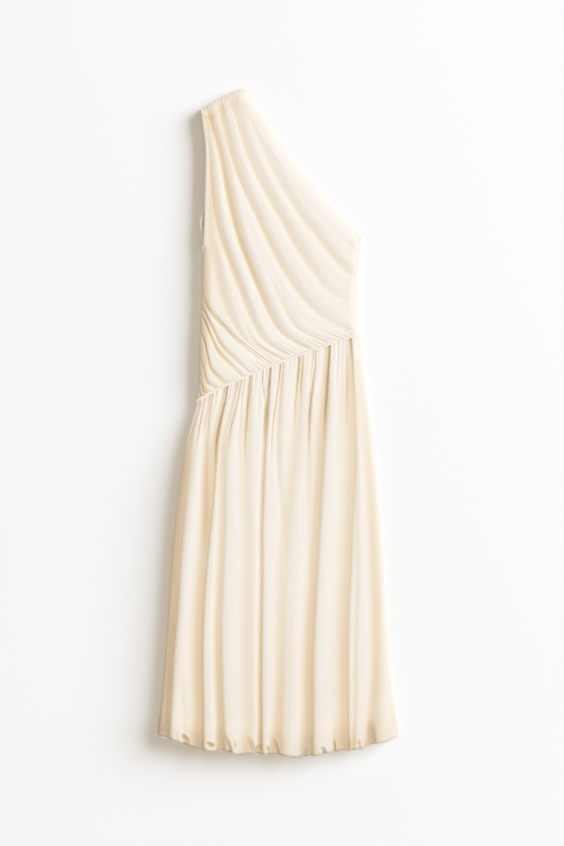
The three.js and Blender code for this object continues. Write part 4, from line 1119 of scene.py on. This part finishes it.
@dataclass
class SkirtBack:
    """The back skirt, in wide flat bands on the table, with its hem turned in above."""

    shift: Array
    thick: float = 0.9
    hem_turn: float = 2.1
    hem_return: float = 18.0
    gather_share: float = 0.6
    turn_rows: tuple[float, float] = (0.16, 12.84)

    def build(self) -> bpy.types.Object:
        """Make the panel."""
        rows = spread(SKIRT, 0, 4, 10)
        ways = np.concatenate([np.linspace(0, 0.12, 22)[:-1], np.linspace(0.12, 1, 60)])
        spots = SKIRT.spots(rows, ways)
        inside = nearest(spots, "skirt_left", "skirt_right")
        hold = ease(10, 26, inside) * ease(0.99, 0.92, ways)[:, None]
        groove = press_hollows(SKIRT, SKIRT_BACK_GROOVES, rows, ways, hold)
        count = SKIRT.count(rows)[None, :] * self.gather_share
        under = groove + BACK_GATHERS.fall(count, away(EDGES["waist"], spots)) * hold
        place = spots.copy()
        place[..., 1] += self.hem_turn * ease(0.9, 1, ways)[:, None]
        sheet = [np.concatenate([place, under[..., None]], axis=-1)]
        points = np.concatenate(sheet + turned_hem(sheet[0][-1], self.hem_turn, self.hem_return, 8, 4))
        kept = np.ones(points.shape[:2], bool)
        within = (rows >= self.turn_rows[0]) & (rows <= self.turn_rows[1])
        kept[len(ways):] = within[None, :]
        cloth = Cloth(points, kept, Side.BACK, np.zeros(points.shape[:2]))
        return cloth.build("skirt_back_cloth", np.full(points.shape[:2], self.thick), self.shift)


@dataclass
class WaistSeam:
    """The narrow puckered strip where the gathered panels are sewn."""

    shift: Array
    gathers: int = 46
    over: float = -0.4
    under: float = 2.6
    pucker: float = 1.2
    # Painted shade between the puckers.
    shade: float = 0.28
    steps: int = 460
    around: int = 16

    def front(self) -> bpy.types.Object:
        """Make the strip of the front."""
        share = np.linspace(0.002, 0.998, self.steps)
        middle = bow(WAIST_LINE, share)
        side = nearest(middle, "skirt_left", "skirt_right")
        base = mix(HEIGHTS.side_seam, HEIGHTS.waist, roll(side, HEIGHTS.side_roll))
        angle = np.linspace(0, 2 * math.pi, self.around, endpoint=False)
        slant = 0.32 * np.cos(angle)[None, :]
        phase = share[:, None] * self.gathers + slant + 0.25 * wander(share * 19, 6)[:, None]
        swell = np.abs(np.sin(math.pi * phase)) ** 0.8
        across = np.sign(np.cos(angle)) * np.abs(np.cos(angle)) ** 0.4
        upright = np.sign(np.sin(angle)) * np.abs(np.sin(angle)) ** 0.6
        offset = np.repeat(WAIST_HALF * across[None, :], len(share), axis=0)
        rise = upright[None, :] * np.where(upright[None, :] > 0, 0.2, self.under)
        height = base[:, None] + rise + mix(-self.pucker, self.over, swell)
        height = np.maximum(height, HEIGHTS.back_top + 0.35)
        # Painted shade on the strip, darker where its puckers sink.
        hollow = np.repeat(self.shade * (1.0 - swell.mean(axis=1, keepdims=True)), self.around, axis=1)
        return self.tube("waist_seam_front_cloth", share, offset, height, hollow)

    def back(self) -> bpy.types.Object:
        """Make the flat seam of the back."""
        share = np.linspace(0.002, 0.998, 160)
        angle = np.linspace(0, 2 * math.pi, 12, endpoint=False)
        offset = np.repeat(WAIST_HALF * np.cos(angle)[None, :], len(share), axis=0)
        thick = HEIGHTS.back_top / 2
        height = thick + thick * np.repeat(np.sin(angle)[None, :], len(share), axis=0)
        return self.tube("waist_seam_back_cloth", share, offset, height, np.zeros(height.shape))

    def tube(self, name: str, share: Array, offset: Array, height: Array,
             hollow: Array) -> bpy.types.Object:
        """Make a closed tube along the waist line.

        Args:
            name: The object's name.
            share: Places of its rings along the waist line, from 0 to 1.
            offset: Distances from the waist line, for each ring's points.
            height: Heights of the same points.
            hollow: Hollowness of the same points.

        Returns:
            The tube.
        """
        centre = beside_waist(share, 0.0)
        outward = beside_waist(share, 1.0) - centre
        place = centre[:, None] + offset[..., None] * outward[:, None]
        points = np.concatenate([place, height[..., None]], axis=-1)
        rings, size = points.shape[:2]
        faces = [
            (i * size + k, i * size + (k + 1) % size, (i + 1) * size + (k + 1) % size, (i + 1) * size + k)
            for i in range(rings - 1)
            for k in range(size)
        ]
        faces.append(tuple(range(size)))
        faces.append(tuple((rings - 1) * size + k for k in range(size)))
        piece = make_piece(name, points.reshape(-1, 3) + self.shift, faces, hollow)
        tidy_shell(piece)
        return piece


@dataclass
class Stitching:
    """Lines of small thread stitches that follow the seams and the turned edges."""

    shift: Array
    pitch: float = 3.4
    length: float = 2.3
    thick: float = 0.42
    inset: float = 6.0
    lift: float = 0.12

    def along_edge(self, edge: str, rows: tuple[float, float], ways: tuple[float, float],
                   front: BodiceFront) -> Array:
        """Points on the front bodice at the stitches' distance in from one edge.

        Args:
            edge: The edge's name.
            rows: The rows to search between, the edge's own row first.
            ways: The first and last way.
            front: The front bodice.

        Returns:
            The points, in millimetres.
        """
        across = np.linspace(min(rows), max(rows), 61)
        along = np.linspace(*ways, 90)
        points, _ = front.top(across, along)
        gap = np.abs(away(EDGES[edge], points[..., :2]) - self.inset)
        pick = np.argmin(gap, axis=1)
        return points[np.arange(len(along)), pick] + (0, 0, self.lift)

    def along_waist(self, offset: float, height: float) -> Array:
        """Points along the waist seam.

        Args:
            offset: Distance from the seam's middle, positive on its bodice side.
            height: Height above the panels' own edge.

        Returns:
            The points, in millimetres.
        """
        share = np.linspace(0.02, 0.98, 160)
        place = beside_waist(share, offset)
        side = nearest(place, "skirt_left", "skirt_right")
        rise = mix(HEIGHTS.side_seam, HEIGHTS.waist, roll(side, HEIGHTS.side_roll)) + height
        return np.concatenate([place, rise[:, None]], axis=-1)

    def tree(self, thread: bpy.types.Material) -> tuple[bpy.types.NodeTree, dict[str, str]]:
        """Make the node tree that sets one stitch at each step of its path.

        Args:
            thread: The thread's material.

        Returns:
            The tree and the identifier of each named input.
        """
        tree = bpy.data.node_groups.new("stitches", "GeometryNodeTree")
        face = tree.interface
        face.new_socket("Geometry", in_out="INPUT", socket_type="NodeSocketGeometry")
        names = {
            name: face.new_socket(name, in_out="INPUT", socket_type="NodeSocketFloat").identifier
            for name in ("Pitch", "Length", "Thickness")
        }
        face.new_socket("Geometry", in_out="OUTPUT", socket_type="NodeSocketGeometry")
        kinds = {
            "entry": "NodeGroupInput",
            "curve": "GeometryNodeMeshToCurve",
            "steps": "GeometryNodeResampleCurve",
            "tangent": "GeometryNodeInputTangent",
            "turn": "FunctionNodeAlignRotationToVector",
            "bead": "GeometryNodeMeshUVSphere",
            "size": "ShaderNodeCombineXYZ",
            "set_out": "GeometryNodeInstanceOnPoints",
            "real": "GeometryNodeRealizeInstances",
            "smooth": "GeometryNodeSetShadeSmooth",
            "cover": "GeometryNodeSetMaterial",
            "leave": "NodeGroupOutput",
        }
        node = {name: tree.nodes.new(kind) for name, kind in kinds.items()}
        node["steps"].mode = "LENGTH"
        node["turn"].axis = "X"
        node["bead"].inputs["Segments"].default_value = 8
        node["bead"].inputs["Rings"].default_value = 5
        node["bead"].inputs["Radius"].default_value = 0.5
        node["cover"].inputs["Material"].default_value = thread
        wires = [
            ("entry", "Geometry", "curve", "Mesh"),
            ("curve", "Curve", "steps", "Curve"),
            ("entry", "Pitch", "steps", "Length"),
            ("tangent", "Tangent", "turn", "Vector"),
            ("entry", "Length", "size", "X"),
            ("entry", "Thickness", "size", "Y"),
            ("entry", "Thickness", "size", "Z"),
            ("steps", "Curve", "set_out", "Points"),
            ("bead", "Mesh", "set_out", "Instance"),
            ("turn", "Rotation", "set_out", "Rotation"),
            ("size", "Vector", "set_out", "Scale"),
            ("set_out", "Instances", "real", "Geometry"),
            ("real", "Geometry", "smooth", "Geometry"),
            ("smooth", "Geometry", "cover", "Geometry"),
            ("cover", "Geometry", "leave", "Geometry"),
        ]
        for source, out, target, into in wires:
            tree.links.new(node[source].outputs[out], node[target].inputs[into])
        return tree, names

    def build(self, name: str, lines: Sequence[Array], thread: bpy.types.Material) -> bpy.types.Object:
        """Make the stitches of some lines as one plain mesh.

        Args:
            name: The object's name.
            lines: The points of each line, in millimetres.
            thread: The thread's material.

        Returns:
            The stitches.
        """
        path = bpy.data.meshes.new(f"{name}_path")
        starts = np.cumsum([0, *(len(line) for line in lines)])
        edges = [(i, i + 1) for a, b in zip(starts[:-1], starts[1:]) for i in range(a, b - 1)]
        path.from_pydata(((np.concatenate(lines) + self.shift) * MM).tolist(), edges, [])
        guide = show(f"{name}_path", path)
        tree, names = self.tree(thread)
        modifier = guide.modifiers.new("stitches", "NODES")
        modifier.node_group = tree
        for socket, size in (("Pitch", self.pitch), ("Length", self.length), ("Thickness", self.thick)):
            modifier[names[socket]] = size * MM
        seen = guide.evaluated_get(bpy.context.evaluated_depsgraph_get())
        mesh = bpy.data.meshes.new_from_object(seen)
        mesh.name = name
        stitches = show(name, mesh)
        guide.modifiers.remove(modifier)
        bpy.data.objects.remove(guide)
        return stitches


class Paint:
    """A new material and its nodes.

    Args:
        name: The material's name.
        looks: Values for the inputs of its shader.
    """

    def __init__(self, name: str, looks: dict[str, object]) -> None:
        self.material = bpy.data.materials.new(name)
        self.material.use_nodes = True
        self.tree = self.material.node_tree
        self.shader = self.tree.nodes["Principled BSDF"]
        self.set_inputs(self.shader, looks)

    def set_inputs(self, node: bpy.types.Node, values: dict[str, object]) -> None:
        """Give values to a node's inputs."""
        for name, value in values.items():
            node.inputs[name].default_value = value

    def add(self, kind: str, values: dict[str, object]) -> bpy.types.Node:
        """Add a node with values for its inputs."""
        node = self.tree.nodes.new(kind)
        self.set_inputs(node, values)
        return node

    def wire(self, source: bpy.types.Node, out: str, target: bpy.types.Node, into: str | int) -> None:
        """Join an output of one node to an input of another."""
        self.tree.links.new(source.outputs[out], target.inputs[into])

    def bump(self, source: bpy.types.Node, out: str, strength: float, distance: float) -> None:
        """Raise the surface by one node's output, up to a distance in metres."""
        bump = self.add("ShaderNodeBump", {"Strength": strength, "Distance": distance})
        self.wire(source, out, bump, "Height")
        self.wire(bump, "Normal", self.shader, "Normal")


@dataclass(frozen=True)
class Jersey:
    """Fine cream viscose jersey: soft matt knit with a faint sheen, and painted warm shade deep in its
    folds.
    """

    # crest is the cloth's own cream; slope, fold and deep are painted shade for folds and shaded edges.
    crest: tuple[float, float, float, float] = (0.91, 0.869, 0.825, 1.0)
    slope: tuple[float, float, float, float] = (0.862, 0.777, 0.658, 1.0)
    fold: tuple[float, float, float, float] = (0.76, 0.60, 0.41, 1.0)
    deep: tuple[float, float, float, float] = (0.62, 0.50, 0.36, 1.0)
    stops: tuple[float, float, float, float] = (0.036, 0.357, 0.714, 1.0)
    sheen: float = 0.25
    knit_pitch: float = 0.9
    knit_depth: float = 0.16

    def make(self) -> bpy.types.Material:
        """Build the material."""
        paint = Paint("cream_jersey", {
            "Roughness": 0.78,
            "Sheen Weight": self.sheen,
            "Sheen Roughness": 0.5,
            "Sheen Tint": (1.0, 0.95, 0.86, 1.0),
            "Specular IOR Level": 0.25,
            "Subsurface Weight": 0.1,
            "Subsurface Scale": 0.004,
            "Subsurface Radius": (1.0, 0.62, 0.36),
        })
        # Painted shade: the hollow attribute moves the cream towards the painted shade colours.
        hollow = paint.add("ShaderNodeAttribute", {})
        hollow.attribute_name = "hollow"
        painted_shade_ramp = paint.add("ShaderNodeValToRGB", {})
        ramp = painted_shade_ramp.color_ramp.elements
        ramp[0].position = self.stops[0]
        ramp[0].color = self.crest
        ramp[1].position = self.stops[-1]
        ramp[1].color = self.deep
        ramp.new(self.stops[1]).color = self.slope
        ramp.new(self.stops[2]).color = self.fold
        paint.wire(hollow, "Fac", painted_shade_ramp, "Fac")
        place = paint.add("ShaderNodeTexCoord", {})
        cloud = paint.add("ShaderNodeTexNoise", {"Scale": 26.0, "Detail": 4.0})
        paint.wire(place, "Object", cloud, "Vector")
        shade = paint.add("ShaderNodeMix", {})
        shade.data_type = "RGBA"
        shade.blend_type = "MULTIPLY"
        paint.set_inputs(shade, {"B": (0.985, 0.98, 0.972, 1.0)})
        paint.wire(cloud, "Fac", shade, "Factor")
        paint.wire(painted_shade_ramp, "Color", shade, "A")
        paint.wire(shade, "Result", paint.shader, "Base Color")
        self.knit(paint, place)
        return paint.material

    def thread(self) -> bpy.types.Material:
        """Build the sewing thread's material, in the cloth's own colour with a fine twist."""
        looks = {"Base Color": self.crest, "Roughness": 0.55, "Sheen Weight": self.sheen}
        paint = Paint("cream_thread", looks)
        place = paint.add("ShaderNodeTexCoord", {})
        twist = paint.add("ShaderNodeTexWave", {"Scale": 900.0})
        twist.bands_direction = "DIAGONAL"
        paint.wire(place, "Object", twist, "Vector")
        paint.bump(twist, "Fac", 0.4, 0.0001)
        return paint.material

    def knit(self, paint: Paint, place: bpy.types.Node) -> None:
        """Add the knit's fine wales and courses as bump.

        Args:
            paint: The jersey's nodes.
            place: Its node of coordinates.
        """
        loops = paint.add("ShaderNodeMath", {})
        loops.operation = "MULTIPLY"
        for socket, (way, finer, detail) in enumerate((("X", 1.0, 3.0), ("Y", 1.4, 1.0))):
            scale = finer / (self.knit_pitch * MM * 6.3)
            looks = {"Scale": scale, "Distortion": 1.2, "Detail Scale": detail}
            wave = paint.add("ShaderNodeTexWave", looks)
            wave.wave_type = "BANDS"
            wave.bands_direction = way
            paint.wire(place, "Object", wave, "Vector")
            paint.wire(wave, "Fac", loops, socket)
        paint.bump(loops, "Value", self.knit_depth, 0.0004)


@dataclass(frozen=True)
class Studio:
    """The pale floor, the soft lights and the camera straight above."""

    width_px: int = 564
    height_px: int = 846
    dress_px: tuple[float, float] = (278.0, 423.0)
    mm_per_px: float = 1.9
    lens: float = 90.0
    table_key: float = 0.688
    table_bounce: float = 0.18
    cloth_key: float = 0.56
    fill: float = 0.22
    bounce: float = 0.018
    room: float = 0.42
    sensor: float = 36.0
    floor_reach: float = 12.0
    floor_gap: float = 0.0002

    def camera(self) -> bpy.types.Object:
        """Place the camera above the photograph's middle."""
        data = bpy.data.cameras.new("camera")
        data.lens = self.lens
        data.sensor_width = self.sensor
        data.sensor_fit = "VERTICAL"
        data.sensor_height = self.sensor
        data.clip_end = 30
        camera = show("camera", data)
        seen = self.height_px * self.mm_per_px * MM
        x = (self.width_px / 2 - self.dress_px[0]) * self.mm_per_px * MM
        y = -(self.height_px / 2 - self.dress_px[1]) * self.mm_per_px * MM
        middle = (HEIGHTS.skirt_crest * 0.6) * MM
        camera.location = (x, y, seen * self.lens / self.sensor + middle)
        bpy.context.scene.camera = camera
        return camera

    def floor(self) -> bpy.types.Object:
        """Make the pale floor."""
        mesh = bpy.data.meshes.new("floor")
        reach = self.floor_reach
        corners = [(-reach, -reach, 0), (reach, -reach, 0), (reach, reach, 0), (-reach, reach, 0)]
        mesh.from_pydata(corners, [], [(0, 1, 2, 3)])
        floor = show("floor", mesh)
        floor.location.z = -self.floor_gap
        looks = {"Base Color": (0.93, 0.93, 0.93, 1), "Roughness": 0.9, "Specular IOR Level": 0.0}
        mesh.materials.append(Paint("pale_floor", looks).material)
        return floor

    def lamp(self, name: str, place: tuple[float, float, float], size: tuple[float, float], share: float,
             colour: tuple[float, float, float]) -> bpy.types.Object:
        """Hang one soft lamp that faces the dress.

        Args:
            name: The lamp's name.
            place: Its middle.
            size: Its width and height.
            share: The light that it brings to the table, where 1 shows white as white.
            colour: Its colour.

        Returns:
            The lamp.
        """
        data = bpy.data.lights.new(name, "AREA")
        data.shape = "RECTANGLE"
        data.size, data.size_y = size
        reach = Vector(place).length
        data.energy = share * math.pi**2 * reach**3 / place[2]
        data.color = colour
        lamp = show(name, data)
        lamp.location = place
        lamp.rotation_euler = (-Vector(place)).to_track_quat("-Z", "Y").to_euler()
        return lamp

    def lights(self, floor: bpy.types.Object, pieces: Sequence[bpy.types.Object]) -> None:
        """Hang the lamps: two that light the table and cast the shadow, and three that light the cloth.

        Args:
            floor: The floor.
            pieces: The pieces of the dress.
        """
        lamps = [
            ("low_key", (20.0, 7.6, 5.0), (19.0, 6.5), self.table_key, (0.738, 0.855, 1.0), [floor]),
            ("table_bounce", (-7.0, -1.0, 14.0), (12.0, 12.0), self.table_bounce, (1.0, 0.89, 0.73),
             [floor]),
            ("cloth_key", (10.0, 5.5, 18.5), (12.0, 12.0), self.cloth_key, (0.83, 0.90, 1.0), pieces),
            ("fill", (6.0, 7.5, 19.0), (15.0, 15.0), self.fill, (1.0, 0.95, 0.86), pieces),
            ("bounce", (-14.0, -1.0, 7.0), (10.0, 10.0), self.bounce, (1.0, 0.86, 0.66), pieces),
        ]
        for name, place, size, share, colour, shown in lamps:
            lamp = self.lamp(name, place, size, share, colour)
            group = bpy.data.collections.new(f"{lamp.name}_shown")
            for thing in shown:
                group.objects.link(thing)
            lamp.light_linking.receiver_collection = group
        world = bpy.data.worlds.new("room")
        world.use_nodes = True
        ground = world.node_tree.nodes["Background"]
        ground.inputs["Color"].default_value = (1.0, 0.87, 0.70, 1)
        ground.inputs["Strength"].default_value = self.room
        bpy.context.scene.world = world
        bpy.context.scene.view_settings.view_transform = "Standard"


@dataclass(frozen=True)
class Cut:
    """The flat cut of one panel, as a maker lays it out."""

    flat: tuple[float, float]
    area: float
    rests_on: tuple[str, ...]


CUTS = {
    "bodice_front": Cut((0.42, 0.66), 0.150, ("bodice_back",)),
    "bodice_back": Cut((0.40, 0.62), 0.128, ()),
    "skirt_front": Cut((0.62, 0.62), 0.330, ("skirt_back",)),
    "skirt_back": Cut((0.56, 0.62), 0.280, ()),
}


def frame_shift() -> Array:
    """Step from the tables' own origin to the frame's, in millimetres."""
    high = CAD_BOX[1]
    top = bow(SHOULDER_LINE, np.linspace(0, 1, 400))[:, 1].max()
    right = SKIRT_LIE[-1].points["hem"][0]
    return np.array([high[0] / MM - right, high[1] / MM - top, 0.0])


def dress(piece: bpy.types.Object, node: str, cloth: bpy.types.Material) -> None:
    """Give a piece its cloth and its place in the frame.

    Args:
        piece: The piece.
        node: The node of the frame that it replaces.
        cloth: Its material.
    """
    piece.data.materials.append(cloth)
    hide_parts(node)
    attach(piece, BODY)
    cut = CUTS.get(node)
    if cut:
        rests = [f"{name}_cloth" for name in cut.rests_on]
    LOG.info("%s: %d faces", piece.name, len(piece.data.polygons))


def main() -> None:
    """Build the dress, the floor, the lights and the camera."""
    logging.basicConfig(level=logging.INFO, format="%(message)s")
    studio = Studio()
    studio.camera()
    floor = studio.floor()
    shift = frame_shift()
    jersey = Jersey()
    cloth = jersey.make()
    seam = WaistSeam(shift)
    front = BodiceFront(shift)
    pieces = {
        "bodice_back": BodiceBack(shift).build(),
        "skirt_back": SkirtBack(shift).build(),
        "bodice_front": front.build(),
        "skirt_front": SkirtFront(shift).build(),
        "waist_seam_back": seam.back(),
        "waist_seam_front": seam.front(),
    }
    for node, piece in pieces.items():
        dress(piece, node, cloth)
    sewing = Stitching(shift)
    thread = jersey.thread()
    stitches = [
        sewing.build("edge_stitches", [
            sewing.along_edge("neck", (8, 6.6), (0.03, 0.985), front),
            sewing.along_edge("armhole", (0, 3.2), (0.03, 0.47), front),
        ], thread),
        sewing.build("waist_stitches", [sewing.along_waist(-1.2, -0.8)], thread),
    ]
    for line in stitches:
        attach(line, BODY)
        LOG.info("%s: %d faces", line.name, len(line.data.polygons))
    studio.lights(floor, [*pieces.values(), *stitches])


if __name__ == "__main__":
    main()
